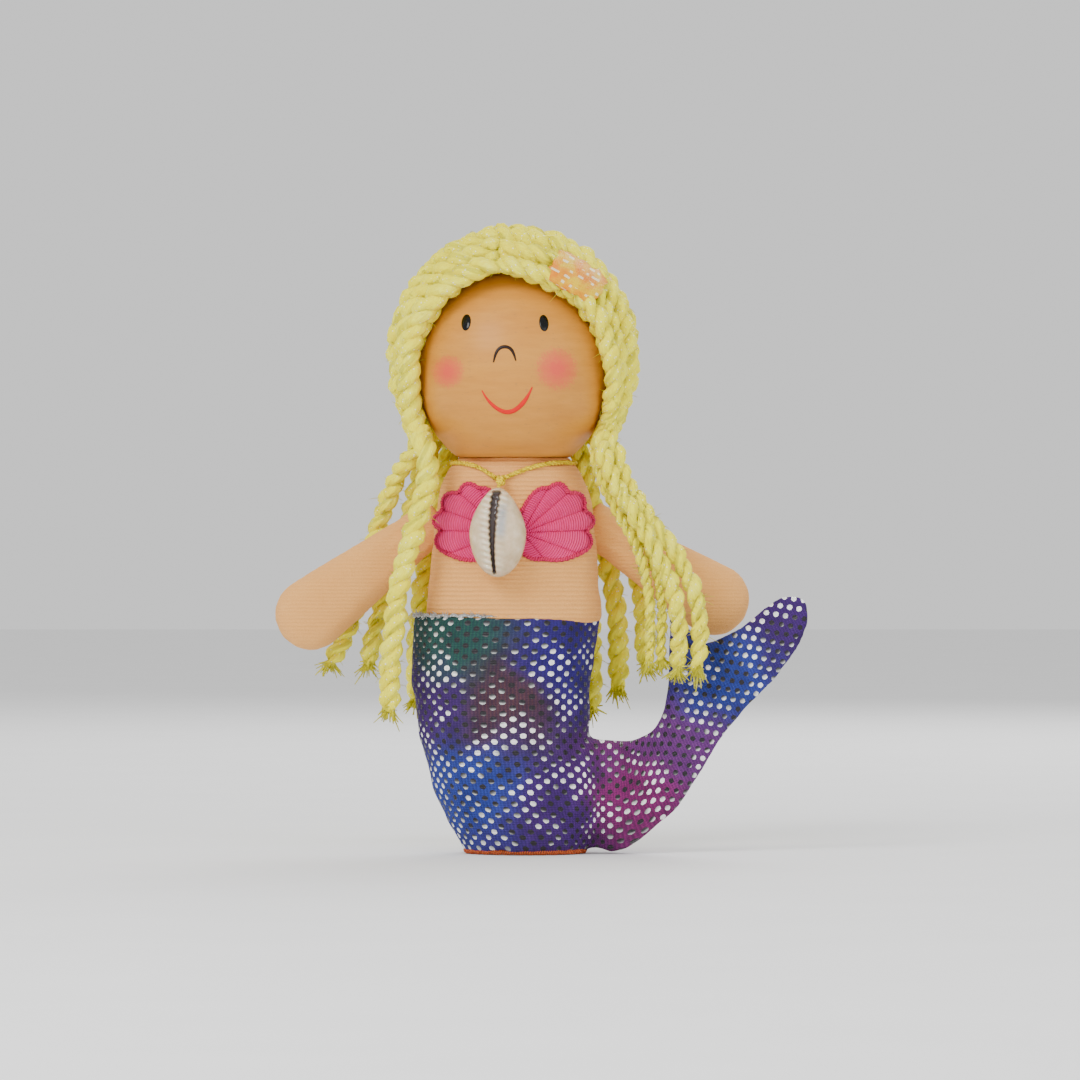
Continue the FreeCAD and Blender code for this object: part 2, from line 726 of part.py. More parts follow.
# Hanging yarn locks: each route is listed by hand from its upper end down. Left and right
# locks hang before the arms; the back locks hang behind them.
LEFT_LOCKS = {
    "lock_left_front": (2.2, [(-18.4, -11.2, 75.8), (-19.9, -11.4, 69.6), (-22.4, -11.6, 62.6),
                              (-24.2, -11.3, 54.6), (-25.1, -11.0, 46.2), (-25.9, -10.8, 37.8),
                              (-25.9, -10.6, 30.0)]),
}
RIGHT_LOCKS = {
    "lock_right_outer": (1.8, [(24.6, -10.4, 75.8), (28.2, -11.0, 69.6), (32.6, -12.0, 64.8),
                               (36.4, -12.7, 58.2), (38.6, -13.0, 51.2), (38.8, -13.1, 44.4),
                               (37.9, -13.0, 38.4)]),
    "lock_right_inner": (1.8, [(22.2, -13.6, 75.8), (25.6, -14.2, 70.0), (29.2, -14.6, 64.0),
                               (32.2, -14.3, 57.4), (34.3, -13.8, 50.6), (34.6, -13.4, 44.2),
                               (33.9, -13.0, 38.4)]),
    "lock_right_ply_left": (1.1, [(19.4, -10.0, 75.8), (22.6, -10.6, 69.6), (25.9, -11.0, 64.0),
                                  (27.6, -11.3, 57.8), (28.6, -11.4, 51.4), (28.3, -11.3, 45.2),
                                  (28.2, -11.0, 39.6)]),
    "lock_right_ply_right": (1.1, [(21.0, -8.0, 75.8), (24.4, -8.6, 69.8), (28.0, -9.6, 64.2),
                                   (30.2, -10.4, 58.0), (31.0, -11.0, 51.6), (30.6, -11.1, 45.4),
                                   (30.7, -11.0, 39.8)]),
}
BACK_LOCKS = {
    "lock_back_far_left": (1.9, [(-26.2, 12.0, 75.6), (-28.6, 13.0, 69.4), (-30.4, 13.2, 61.8),
                                 (-32.4, 13.0, 54.2), (-35.0, 12.6, 46.6), (-39.3, 12.2, 39.0)]),
    "lock_back_left": (2.0, [(-21.0, 13.2, 75.6), (-22.6, 13.9, 68.4), (-25.0, 13.8, 60.4),
                             (-27.9, 13.2, 52.4), (-30.0, 12.8, 45.4), (-30.9, 12.4, 39.0)]),
    "lock_back_mid_left": (2.0, [(-15.8, 14.2, 75.6), (-17.2, 14.7, 67.4), (-19.2, 14.6, 58.4),
                                 (-20.3, 14.2, 49.4), (-20.9, 13.8, 40.4), (-20.9, 13.4, 31.4)]),
    "lock_back_1": (2.1, [(-10.6, 14.4, 75.6), (-11.0, 15.0, 67.0), (-12.0, 15.1, 58.0),
                          (-12.4, 14.8, 49.0), (-13.4, 14.6, 40.0), (-13.6, 14.2, 31.0)]),
    "lock_back_2": (2.1, [(-5.2, 14.6, 75.6), (-5.0, 15.2, 67.0), (-5.6, 15.2, 58.0),
                          (-5.6, 14.9, 49.0), (-6.6, 14.6, 40.0), (-6.5, 14.3, 30.0)]),
    "lock_back_3": (2.1, [(0.2, 14.6, 75.6), (0.8, 15.2, 67.0), (0.8, 15.3, 58.0),
                          (1.4, 15.0, 49.0), (1.0, 14.7, 40.0), (1.3, 14.3, 31.0)]),
    "lock_back_4": (2.1, [(5.6, 14.6, 75.6), (6.6, 15.2, 67.0), (7.4, 15.2, 58.0),
                          (8.4, 14.9, 49.0), (8.4, 14.6, 40.0), (9.2, 14.2, 29.6)]),
    "lock_back_mid_right": (2.1, [(11.0, 14.4, 75.6), (12.8, 15.0, 67.0), (14.6, 15.0, 58.0),
                                  (16.2, 14.6, 48.4), (16.6, 14.2, 38.8), (16.4, 14.0, 29.4)]),
    "lock_back_right": (2.1, [(16.2, 13.6, 75.6), (18.4, 14.4, 67.4), (20.4, 14.5, 58.4),
                              (22.0, 14.2, 49.6), (22.3, 13.9, 41.2), (22.0, 13.6, 33.6)]),
    "lock_back_far_right": (2.1, [(21.2, 12.8, 75.6), (23.8, 13.7, 68.0), (26.0, 13.9, 60.0),
                                  (27.6, 13.6, 52.0), (27.9, 13.3, 44.8), (27.8, 13.0, 38.6)]),
}
for locks in (LEFT_LOCKS, RIGHT_LOCKS, BACK_LOCKS):
    for label, (radius, route) in locks.items():
        tubes(label, [route], radius)

# Short stretches between the hair on the head and each hanging lock; they give as the
# head turns.
ROOT_TOP = size("hair_base") - 1.2
ROOT_STRAIGHT = 3.6  # from a lock's end to where its root turns to the head


def root_route(lock, top):
    """From just above a lock's upper end, in line with it, up to the head's hair."""
    start = Vector(*lock[0])
    upward = (start - Vector(*lock[1])).normalize()
    return [tuple(start + upward * size("gap")), tuple(start + upward * ROOT_STRAIGHT),
            (top[0], top[1], ROOT_TOP)]


def roots(label, tops, locks, radius):
    routes = [root_route(route, top) for top, (_, route) in zip(tops, locks.values())]
    tubes(label, routes, radius)


roots("hair_roots_left", [(-17.6, -12.6)], LEFT_LOCKS, 2.0)
roots("hair_roots_right", [(20.6, -9.6), (17.8, -13.2), (16.4, -9.6), (18.2, -5.4)],
      RIGHT_LOCKS, 1.0)
BACK_TOPS = [(-20.6, 4.6), (-17.4, 10.4), (-13.6, 14.4), (-9.2, 16.4), (-4.6, 17.6), (0.2, 17.8),
             (5.0, 17.4), (9.8, 16.2), (14.0, 14.0), (17.8, 10.6)]
roots("hair_roots_back", BACK_TOPS, BACK_LOCKS, 1.7)

# ---- Checks and files ---------------------------------------------------------------
VOLUME_TOLERANCE = 0.001
MESH_TOLERANCE = 0.02


def mesh_volume(shape):
    """The volume inside a fine mesh; the exact one is unsteady on trimmed ellipsoids."""
    points, triangles = shape.tessellate(MESH_TOLERANCE)
    return abs(sum(points[a].dot(points[b].cross(points[c])) for a, b, c in triangles)) / 6


doc.recompute()
for made in doc.Objects:
    if {"Invalid", "Error"} & set(made.State):
        raise RuntimeError(f"{made.Name} has failed: {made.State}")
for made in NODES:
    shape = made.Shape
    if shape.isNull() or not shape.isValid() or not shape.Solids:
        raise RuntimeError(f"{made.Label} has no valid solid")
    if len(made.Label) >= 60:
        raise RuntimeError(f"{made.Label} is too long for a file's name")
    path = f"parts/{made.Label}.step"
    shape.exportStep(path)
    written = Part.Shape()
    written.read(path)
    if len(written.Solids) != len(shape.Solids):
        raise RuntimeError(f"{path} holds {len(written.Solids)} solids, not {len(shape.Solids)}")
    if abs(mesh_volume(written) / mesh_volume(shape) - 1) > VOLUME_TOLERANCE:
        raise RuntimeError(f"{path} doesn't hold the volume that was written")
    box = shape.BoundBox
    print(f"{made.Label}: {len(shape.Solids)} solid(s), {shape.Volume:.1f} mm3, "
          f"x {box.XMin:.1f}..{box.XMax:.1f}, y {box.YMin:.1f}..{box.YMax:.1f}, "
          f"z {box.ZMin:.1f}..{box.ZMax:.1f}")
print(len(NODES), "nodes")
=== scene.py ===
import math
import random

import bpy
import bmesh
from mathutils import Matrix, Vector, noise


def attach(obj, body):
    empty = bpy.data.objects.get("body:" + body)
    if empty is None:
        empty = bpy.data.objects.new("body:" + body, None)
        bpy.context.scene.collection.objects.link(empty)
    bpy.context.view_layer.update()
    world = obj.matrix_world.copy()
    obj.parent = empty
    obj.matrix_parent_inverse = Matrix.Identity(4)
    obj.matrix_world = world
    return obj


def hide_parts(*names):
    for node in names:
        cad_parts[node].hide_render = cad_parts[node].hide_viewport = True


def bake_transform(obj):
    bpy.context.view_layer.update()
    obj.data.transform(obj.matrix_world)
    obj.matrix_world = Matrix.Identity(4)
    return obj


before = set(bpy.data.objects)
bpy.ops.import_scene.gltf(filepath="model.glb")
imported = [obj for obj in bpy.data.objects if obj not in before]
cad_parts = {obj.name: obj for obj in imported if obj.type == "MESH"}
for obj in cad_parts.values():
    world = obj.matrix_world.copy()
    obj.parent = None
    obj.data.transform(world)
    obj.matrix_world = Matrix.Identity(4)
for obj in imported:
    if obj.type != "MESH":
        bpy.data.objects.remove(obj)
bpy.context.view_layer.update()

MM = 0.001
TAU = 2 * math.pi


# ---- Small helpers -------------------------------------------------------------------
def clamp(value, low=0.0, high=1.0):
    return max(low, min(high, value))


def smoothstep(value, low, high):
    t = clamp((value - low) / (high - low))
    return t * t * (3 - 2 * t)


def mix(a, b, t):
    return a + (b - a) * t


def rough(x, y, z):
    """Smooth noise from about -1 to 1, with lumps about 1 across."""
    return noise.noise(Vector((x, y, z)))


def wobble(x, y, z, scale, seed):
    """The same noise, with lumps about scale across."""
    return rough(x / scale + seed, y / scale - seed, z / scale + 2 * seed)


def piece(name, vertices, faces, material, smooth=True):
    """A mesh object from vertices in millimetres."""
    mesh = bpy.data.meshes.new(name)
    mesh.from_pydata([tuple(c * MM for c in v) for v in vertices], [], faces)
    made = bpy.data.objects.new(name, mesh)
    bpy.context.collection.objects.link(made)
    bm = bmesh.new()
    bm.from_mesh(mesh)
    bmesh.ops.recalc_face_normals(bm, faces=bm.faces)
    bm.to_mesh(mesh)
    bm.free()
    mesh.materials.append(material)
    if smooth:
        mesh.polygons.foreach_set("use_smooth", [True] * len(mesh.polygons))
    return made


def mount(obj, body, slot, *nodes):
    """Says which body a piece rides on and the nodes it stands for; its slot is not used."""
    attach(obj, body)
    if nodes:
        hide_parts(*nodes)


def store(obj, name, values, kind="FLOAT_VECTOR"):
    """Keeps one value for each vertex, for the material to read."""
    attribute = obj.data.attributes.new(name, kind, "POINT")
    key = {"FLOAT_VECTOR": "vector", "FLOAT_COLOR": "color"}[kind]
    attribute.data.foreach_set(key, [c for value in values for c in value])


def grid_faces(rows, columns, wrap=False):
    """Quads of a grid of vertices stored row by row."""
    faces = []
    for i in range(rows - 1):
        for j in range(columns if wrap else columns - 1):
            k = (j + 1) % columns
            faces.append((i * columns + j, i * columns + k, (i + 1) * columns + k,
                          (i + 1) * columns + j))
    return faces


def rings(name, loops, material):
    """A closed skin through rings of points that all have the same count."""
    count = len(loops[0])
    vertices = [p for loop in loops for p in loop]
    faces = grid_faces(len(loops), count, wrap=True)
    for index in (0, len(loops) - 1):
        base, hub = index * count, len(vertices)
        vertices.append(tuple(sum(p[i] for p in loops[index]) / count for i in range(3)))
        faces += [(base + j, base + (j + 1) % count, hub) for j in range(count)]
    return piece(name, vertices, faces, material)


# ---- Materials -----------------------------------------------------------------------
class Shader:
    """Builds a node material tersely; helpers take numbers or sockets and return a socket."""

    def __init__(self, name, **constants):
        self.material = bpy.data.materials.new(name)
        self.material.use_nodes = True
        self.tree = self.material.node_tree
        self.bsdf = self.tree.nodes["Principled BSDF"]
        for socket, value in constants.items():
            self.bsdf.inputs[socket.replace("_", " ")].default_value = value

    def node(self, kind, **settings):
        made = self.tree.nodes.new(kind)
        for key, value in settings.items():
            setattr(made, key, value)
        return made

    def feed(self, socket, value):
        if isinstance(value, bpy.types.NodeSocket):
            self.tree.links.new(value, socket)
        else:
            socket.default_value = value

    def attribute(self, name, output="Vector"):
        return self.node("ShaderNodeAttribute", attribute_name=name).outputs[output]

    def place(self):
        return self.node("ShaderNodeTexCoord").outputs["Object"]

    def math(self, operation, a, b=0.0):
        made = self.node("ShaderNodeMath", operation=operation)
        for socket, value in zip(made.inputs, (a, b)):
            self.feed(socket, value)
        return made.outputs[0]

    def times(self, a, b):
        return self.math("MULTIPLY", a, b)

    def plus(self, a, b):
        return self.math("ADD", a, b)

    def minus(self, a, b):
        return self.math("SUBTRACT", a, b)

    def sine(self, angle):
        return self.math("SINE", angle)

    def distance(self, a, b):
        return self.math("SQRT", self.plus(self.times(a, a), self.times(b, b)))

    def parts(self, vector):
        made = self.node("ShaderNodeSeparateXYZ")
        self.feed(made.inputs[0], vector)
        return made.outputs

    def stretched(self, vector, scale):
        made = self.node("ShaderNodeVectorMath", operation="MULTIPLY")
        self.feed(made.inputs[0], vector)
        made.inputs[1].default_value = scale
        return made.outputs[0]

    def noise(self, vector, scale, detail=3.0, roughness=0.5):
        made = self.node("ShaderNodeTexNoise")
        self.feed(made.inputs["Vector"], vector)
        made.inputs["Scale"].default_value = scale
        made.inputs["Detail"].default_value = detail
        made.inputs["Roughness"].default_value = roughness
        return made.outputs["Fac"]

    def ramp(self, value, *stops):
        made = self.node("ShaderNodeValToRGB")
        self.feed(made.inputs[0], value)
        elements = made.color_ramp.elements
        while len(elements) < len(stops):
            elements.new(0.5)
        for element, (place, color) in zip(elements, stops):
            element.position = place
            element.color = (*color, 1.0)
        return made.outputs[0]

    def fade(self, value, start, end, most):
        """A mask: most where the value is at start or under it, nothing from end on."""
        return self.ramp(value, (start, (most, most, most)), (end, (0, 0, 0)))

    def joined(self, x, y, z=0.0):
        made = self.node("ShaderNodeCombineXYZ")
        for socket, value in zip(made.inputs, (x, y, z)):
            self.feed(socket, value)
        return made.outputs[0]

    def chance(self, cell, dimensions="3D"):
        made = self.node("ShaderNodeTexWhiteNoise", noise_dimensions=dimensions)
        self.feed(made.inputs["Vector"], cell)
        return made.outputs["Value"]

    def blend(self, factor, a, b):
        made = self.node("ShaderNodeMix", data_type="RGBA")
        self.feed(made.inputs[0], factor)
        for socket, value in ((made.inputs[6], a), (made.inputs[7], b)):
            self.feed(socket, (*value, 1.0) if isinstance(value, tuple) else value)
        return made.outputs[2]

    def bump(self, height, distance_mm, strength, under=None):
        made = self.node("ShaderNodeBump")
        made.inputs["Strength"].default_value = strength
        made.inputs["Distance"].default_value = distance_mm * MM
        self.feed(made.inputs["Height"], height)
        if under is not None:
            self.feed(made.inputs["Normal"], under)
        return made.outputs[0]

    def finish(self, color, roughness=None, normal=None):
        self.feed(self.bsdf.inputs["Base Color"], color)
        if roughness is not None:
            self.feed(self.bsdf.inputs["Roughness"], roughness)
        if normal is not None:
            self.feed(self.bsdf.inputs["Normal"], normal)
        return self.material


# Places on the face and the head, in millimetres of the row frame.
HEAD_CENTRE = Vector((0.0, 0.0, 101.0))
HEAD_HALF = Vector((20.4, 20.4, 22.05))
HAIR_CENTRE = Vector((0.0, 0.0, 104.2))
HAIR_HALF = Vector((26.9, 25.5, 28.3))
CHEEKS = ((-13.6, 100.6, 3.6), (9.0, 101.1, 4.6))


def front_y(centre, half, x, z):
    """How far forward the front of an ellipsoid is at x and z, or near its rim if past it."""
    rest = 1 - (x / half.x) ** 2 - ((z - centre.z) / half.z) ** 2
    return -half.y * math.sqrt(max(rest, 0.02))


def wood_material():
    """Varnished turned wood, with sprayed red cheeks."""
    s = Shader("varnished_wood", Roughness=0.5, Specular_IOR_Level=0.3, Coat_Weight=0.07,
               Coat_Roughness=0.3)
    place = s.place()
    grain = s.noise(s.stretched(place, (160.0, 160.0, 900.0)), 1.0, 5.0, 0.62)
    bands = s.noise(s.stretched(place, (40.0, 40.0, 240.0)), 1.0, 2.0, 0.4)
    color = s.ramp(grain, (0.3, (0.53, 0.205, 0.022)), (0.52, (0.585, 0.24, 0.028)),
                   (0.72, (0.63, 0.27, 0.038)))
    color = s.blend(0.3, color, s.ramp(bands, (0.35, (0.53, 0.205, 0.024)),
                                       (0.65, (0.62, 0.27, 0.038))))
    pores = s.noise(s.stretched(place, (900.0, 900.0, 2600.0)), 1.0, 2.0, 0.5)
    color = s.blend(s.ramp(pores, (0.62, (0, 0, 0)), (0.75, (0.35, 0.35, 0.35))), color,
                    (0.30, 0.13, 0.05))
    x, y, z = s.parts(place)
    front = s.math("LESS_THAN", y, 0.0)
    speckle = s.noise(place, 2600.0, 2.0, 0.7)
    for cx, cz, radius in CHEEKS:
        dx = s.minus(x, cx * MM)
        dz = s.minus(z, cz * MM)
        gap = s.distance(dx, dz)
        near = s.math("DIVIDE", gap, radius * MM)
        ragged = s.plus(near, s.times(s.minus(speckle, 0.5), 0.9))
        spray = s.ramp(ragged, (0.2, (0.8, 0.8, 0.8)), (0.75, (0.42, 0.42, 0.42)),
                       (1.15, (0, 0, 0)))
        color = s.blend(s.times(spray, front), color, (0.72, 0.035, 0.040))
    return s.finish(color, normal=s.bump(grain, 0.03, 0.4))


def paint_material(name, color, roughness=0.12):
    """Gloss paint with slightly uneven colour."""
    s = Shader(name, Roughness=roughness, Specular_IOR_Level=0.22)
    tone = s.noise(s.place(), 900.0, 2.0)
    dark = tuple(c * 0.7 for c in color)
    return s.finish(s.blend(tone, dark, color), normal=s.bump(tone, 0.02, 0.3))


def yarn_material():
    """Reads ply: round the ply, along it in mm, and a number that differs by strand."""
    s = Shader("slub_yarn", Roughness=0.7, Sheen_Weight=0.06, Sheen_Roughness=0.4,
               Specular_IOR_Level=0.3)
    s.bsdf.inputs["Sheen Tint"].default_value = (1.0, 0.95, 0.35, 1.0)
    around, along, strand = s.parts(s.attribute("ply"))
    turns = s.plus(s.times(around, 5.0), s.times(along, 3.2))
    wave = s.sine(turns)
    fibres = s.noise(s.joined(s.times(turns, 0.6), s.times(along, 0.55), strand), 3.0, 4.0, 0.65)
    tone = s.noise(s.attribute("rest"), 0.25, 3.0, 0.6)
    color = s.ramp(tone, (0.3, (0.96, 0.85, 0.010)), (0.5, (1.0, 0.95, 0.026)),
                   (0.72, (1.0, 0.99, 0.11)))
    color = s.blend(s.fade(fibres, 0.38, 0.56, 0.75), color,
                    (0.84, 0.68, 0.004))
    sparkle = s.node("ShaderNodeTexVoronoi", feature="F1")
    s.feed(sparkle.inputs["Vector"], s.attribute("rest"))
    sparkle.inputs["Scale"].default_value = 1.15
    glint = s.math("LESS_THAN", sparkle.outputs["Distance"], 0.17)
    color = s.blend(s.times(glint, 0.9), color, (0.99, 0.99, 0.90))
    height = s.plus(s.times(wave, 0.35), fibres)
    roughness = s.minus(0.66, s.times(glint, 0.42))
    return s.finish(color, roughness, s.bump(height, 0.22, 0.85))


def knit_material(name, light, dark, rows, row_depth, row_tone, fuzz):
    """Fabric with fine level rows; rows is how many there are in a millimetre."""
    s = Shader(name, Roughness=0.9, Sheen_Weight=0.15, Sheen_Roughness=0.45,
               Specular_IOR_Level=0.25)
    s.bsdf.inputs["Sheen Tint"].default_value = (1.0, 0.75, 0.5, 1.0)
    rest = s.attribute("rest")
    _, _, z = s.parts(rest)
    drift = s.noise(rest, 0.3, 2.0)
    row = s.sine(s.plus(s.times(z, rows * TAU),
                                s.times(drift, 2.2)))
    grain = s.noise(s.stretched(rest, (1.0, 1.0, 1.9)), 3.6, 4.0, 0.7)
    tone = s.noise(rest, 0.11, 3.0)
    color = s.ramp(grain, (0.3, dark), (0.62, light))
    color = s.blend(s.fade(tone, 0.38, 0.62, 0.28), color, dark)
    line = s.fade(row, 0.0, 0.6, row_tone)
    color = s.blend(line, color, dark)
    bumped = s.bump(grain, fuzz, 0.8, s.bump(row, row_depth, 0.7))
    return s.finish(color, normal=bumped)


WALE, COURSE = 0.62, 0.5  # mm between the jersey's stitches, across and along
DOT_SPANS = (3.2, 2.35)  # mm between foil dots, across and along, in each of two crossed grids
DOT_RADIUS = 0.55  # mm


def foil_material():
    """Tie-dyed jersey with silver foil dots whose reflections are painted; reads cloth (mm in the
    cloth) and dye.
    """
    s = Shader("foil_dot_jersey", Specular_IOR_Level=0.2)
    u, v, _ = s.parts(s.attribute("cloth"))
    flat = s.joined(u, v)
    wale = s.sine(s.times(u, TAU / WALE))
    course = s.sine(s.times(v, TAU / COURSE))
    speck = s.noise(flat, 3.2, 4.0, 0.7)
    dye = s.attribute("dye", "Color")
    color = s.blend(s.fade(speck, 0.34, 0.6, 0.5), dye,
                    s.blend(0.72, dye, (0.01, 0.008, 0.03)))
    color = s.blend(s.fade(wale, 0.0, 0.55, 0.3), color,
                    (0.012, 0.01, 0.04))
    foil, painted_reflection = 0.0, 0.0
    # A slow noise that sets where the dots are painted bright or dark: painted reflection, not the
    # cloth's shape.
    swell = s.noise(flat, 0.13, 1.0, 0.4)
    for offset in (0.0, 0.5):
        cells, gaps = [], []
        for axis, span in zip((u, v), DOT_SPANS):
            t = s.plus(s.math("DIVIDE", axis, span), offset)
            cells.append(s.math("FLOOR", t))
            gaps.append(s.times(s.minus(s.math("FRACT", t), 0.5), span))
        gap = s.distance(gaps[0], gaps[1])
        worn = s.plus(gap, s.times(s.minus(speck, 0.5), 0.42))
        dot = s.math("LESS_THAN", worn, DOT_RADIUS)
        chance = s.chance(s.joined(*cells, offset * 7))
        foil = s.plus(foil, dot)
        # Painted reflection and painted shade: a dot is painted bright below and dark above, and a
        # slow noise paints broad bright and dark patches over the dots.
        lit = s.minus(s.times(chance, 0.34),
                     s.times(gaps[1], 0.62))
        lit = s.plus(lit, s.times(s.minus(swell, 0.50), 5.0))
        painted_reflection = s.plus(painted_reflection, s.times(dot, lit))
    # The dots' colour runs from near black to white: silver foil with painted shade and painted
    # reflection.
    silver = s.ramp(painted_reflection, (0.0, (0.022, 0.02, 0.024)), (0.2, (0.09, 0.09, 0.095)),
                    (0.42, (0.46, 0.47, 0.46)), (0.75, (0.88, 0.89, 0.87)))
    color = s.blend(foil, color, silver)
    s.feed(s.bsdf.inputs["Metallic"], s.times(foil, 0.25))
    roughness = s.minus(0.82, s.times(foil, 0.5))
    relief = s.plus(s.times(s.plus(wale, course), 0.3), speck)
    return s.finish(color, roughness,
                    s.bump(foil, 0.06, 0.6, s.bump(relief, 0.14, 0.75)))


def thread_material(name, light, dark, lines):
    """Shiny thread with so many fine lines in a mm; reads ply as the yarn does."""
    s = Shader(name, Roughness=0.5, Specular_IOR_Level=0.35)
    around, along, _ = s.parts(s.attribute("ply"))
    stitch = s.sine(s.plus(s.times(along, lines * TAU),
                                   s.times(around, 2.0)))
    tone = s.noise(s.attribute("rest"), 0.9, 3.0, 0.6)
    color = s.blend(s.fade(stitch, 0.0, 0.6, 0.75),
                    s.blend(s.ramp(tone, (0.35, (0, 0, 0)), (0.7, (0.55, 0.55, 0.55))),
                            light, tuple(min(1.0, c * 1.35 + 0.02) for c in light)), dark)
    fine = s.noise(s.attribute("rest"), 2.6, 3.0, 0.7)
    return s.finish(color, normal=s.bump(s.plus(stitch, fine), 0.2, 0.9))


def shell_material():
    """Glossy cowrie; reads tone: groove, tooth and blue patch. The groove is painted near black as
    painted shade inside the opening.
    """
    s = Shader("cowrie", Roughness=0.16, Coat_Weight=0.5, Coat_Roughness=0.05,
               Subsurface_Weight=0.2, Subsurface_Scale=0.0015)
    groove, tooth, blue = s.parts(s.attribute("tone"))
    rest = s.attribute("rest")
    cloud = s.noise(rest, 0.35, 4.0, 0.6)
    color = s.ramp(cloud, (0.3, (0.50, 0.36, 0.20)), (0.55, (0.62, 0.47, 0.29)),
                   (0.8, (0.76, 0.64, 0.46)))
    color = s.blend(s.times(tooth, 0.75), color, (0.88, 0.80, 0.62))
    color = s.blend(s.times(blue, 0.75), color, (0.33, 0.35, 0.37))
    # Painted shade: the opening is painted near black, standing for the shade inside the hollow
    # shell.
    color = s.blend(groove, color, (0.028, 0.008, 0.006))
    return s.finish(color, s.plus(0.14, s.times(groove, 0.5)))


ORGANZA_THREAD = 0.42  # mm from thread to thread
FLECK_ACROSS, FLECK_ALONG = 0.62, 0.46  # mm, the cells that hold a metallic fleck or none
LINING_THREAD = 0.5  # mm from thread to thread


def weave_material():
    """Orange metallic organza; reads cloth in millimetres."""
    s = Shader("metallic_organza", Roughness=0.4, Specular_IOR_Level=0.2)
    u, v, _ = s.parts(s.attribute("cloth"))
    warp = s.sine(s.times(u, TAU / ORGANZA_THREAD))
    weft = s.sine(s.times(v, TAU / ORGANZA_THREAD))
    check = s.times(warp, weft)
    file, rank = s.math("DIVIDE", u, FLECK_ACROSS), s.math("DIVIDE", v, FLECK_ALONG)
    chance = s.chance(s.joined(s.math("FLOOR", file), s.math("FLOOR", rank)), "2D")
    tone = s.noise(s.attribute("cloth"), 0.3, 2.0)
    color = s.ramp(tone, (0.38, (0.95, 0.27, 0.0)), (0.5, (1.0, 0.46, 0.0)),
                   (0.62, (1.0, 0.72, 0.0)))
    color = s.blend(s.fade(check, 0.0, 0.6, 0.35), color,
                    (0.80, 0.24, 0.0))
    in_row = s.math("LESS_THAN", s.math("FRACT", s.times(rank, 0.3334)), 0.4)
    fleck = s.times(in_row, s.math("GREATER_THAN", chance, 0.76))
    color = s.blend(s.times(fleck, 0.8), color, (0.98, 0.95, 0.66))
    s.feed(s.bsdf.inputs["Metallic"], s.times(fleck, 0.2))
    return s.finish(color, normal=s.bump(check, 0.1, 0.8))


def woven_material(name, light, dark):
    """Plain woven cloth, its threads level and upright."""
    s = Shader(name, Roughness=0.9)
    x, y, z = s.parts(s.place())
    warp = s.sine(s.times(s.plus(x, y), TAU / (LINING_THREAD * MM)))
    weft = s.sine(s.times(z, TAU / (LINING_THREAD * MM)))
    check = s.times(warp, weft)
    tone = s.noise(s.place(), 300.0, 3.0)
    color = s.blend(tone, dark, light)
    return s.finish(s.blend(s.fade(check, 0.0, 0.6, 0.3), color, dark),
                    normal=s.bump(check, 0.08, 0.8))


WOOD = wood_material()
BLACK = paint_material("black_gloss", (0.004, 0.004, 0.004))
BROWN = paint_material("dark_brown_gloss", (0.018, 0.006, 0.003), 0.3)
RED = paint_material("red_gloss", (0.80, 0.006, 0.003), 0.3)
YARN = yarn_material()
TORSO_KNIT = knit_material("torso_knit", (0.96, 0.50, 0.155), (0.78, 0.33, 0.08), 1.05, 0.13, 0.38,
                           0.2)
ARM_FLEECE = knit_material("arm_fleece", (0.99, 0.51, 0.155), (0.85, 0.37, 0.09), 1.3, 0.05, 0.15,
                           0.4)
FOIL = foil_material()
PINK = thread_material("pink_embroidery", (0.98, 0.032, 0.235), (0.80, 0.012, 0.12), 1.8)
PINK_EDGE = thread_material("pink_edging", (0.85, 0.014, 0.13), (0.55, 0.004, 0.055), 1.8)
YELLOW = thread_material("yellow_thread", (1.0, 0.78, 0.0), (1.0, 0.60, 0.0), 1.6)
ORANGE = thread_material("orange_overlock", (0.80, 0.16, 0.035), (0.42, 0.045, 0.01), 2.0)
SILVER = thread_material("silver_fray", (0.78, 0.79, 0.77), (0.42, 0.44, 0.44), 1.2)
SHELL = shell_material()
ORGANZA = weave_material()
LINING = woven_material("lining_weave", (0.70, 0.64, 0.52), (0.46, 0.40, 0.30))


# ---- Camera, light and floor ---------------------------------------------------------
def stage_set():
    """The camera, four soft lights, a white world and a pale floor."""
    camera_data = bpy.data.cameras.new("camera")
    camera_data.lens = 190.5
    camera_data.sensor_width = 36.0
    camera = bpy.data.objects.new("camera", camera_data)
    bpy.context.collection.objects.link(camera)
    camera.location = (5.5 * MM, -1.2, 65.7 * MM)
    camera.rotation_euler = (math.radians(90), 0, 0)
    bpy.context.scene.camera = camera
    for name, spot, energy, width in (("key", (-0.42, -0.62, 0.62), 6.1, 0.4),
                                      ("fill", (0.62, -0.66, 0.24), 2.2, 0.6),
                                      ("front", (0.05, -0.95, 0.32), 1.6, 0.7),
                                      ("back", (0.25, 0.7, 0.6), 5.2, 0.6)):
        data = bpy.data.lights.new(name, "AREA")
        data.energy = energy
        data.size = width
        lamp = bpy.data.objects.new(name, data)
        lamp.location = spot
        aim = Vector((0.0, 0.0, 0.07)) - Vector(spot)
        lamp.rotation_euler = aim.to_track_quat("-Z", "Y").to_euler()
        bpy.context.collection.objects.link(lamp)
    world = bpy.data.worlds.new("studio")
    world.use_nodes = True
    world.node_tree.nodes["Background"].inputs[0].default_value = (1.0, 1.0, 1.0, 1.0)
    world.node_tree.nodes["Background"].inputs[1].default_value = 0.90
    bpy.context.scene.world = world
    s = Shader("pale_floor", Roughness=0.9)
    tone = s.noise(s.place(), 30.0, 2.0)
    floor_material = s.finish(s.ramp(tone, (0.3, (0.86, 0.86, 0.86)), (0.7, (0.88, 0.88, 0.88))))
    reach = 3000.0
    floor = piece("floor", [(-reach, -reach, -0.05), (reach, -reach, -0.05),
                            (reach, reach, -0.05), (-reach, reach, -0.05)],
                  [(0, 1, 2, 3)], floor_material, smooth=False)


stage_set()


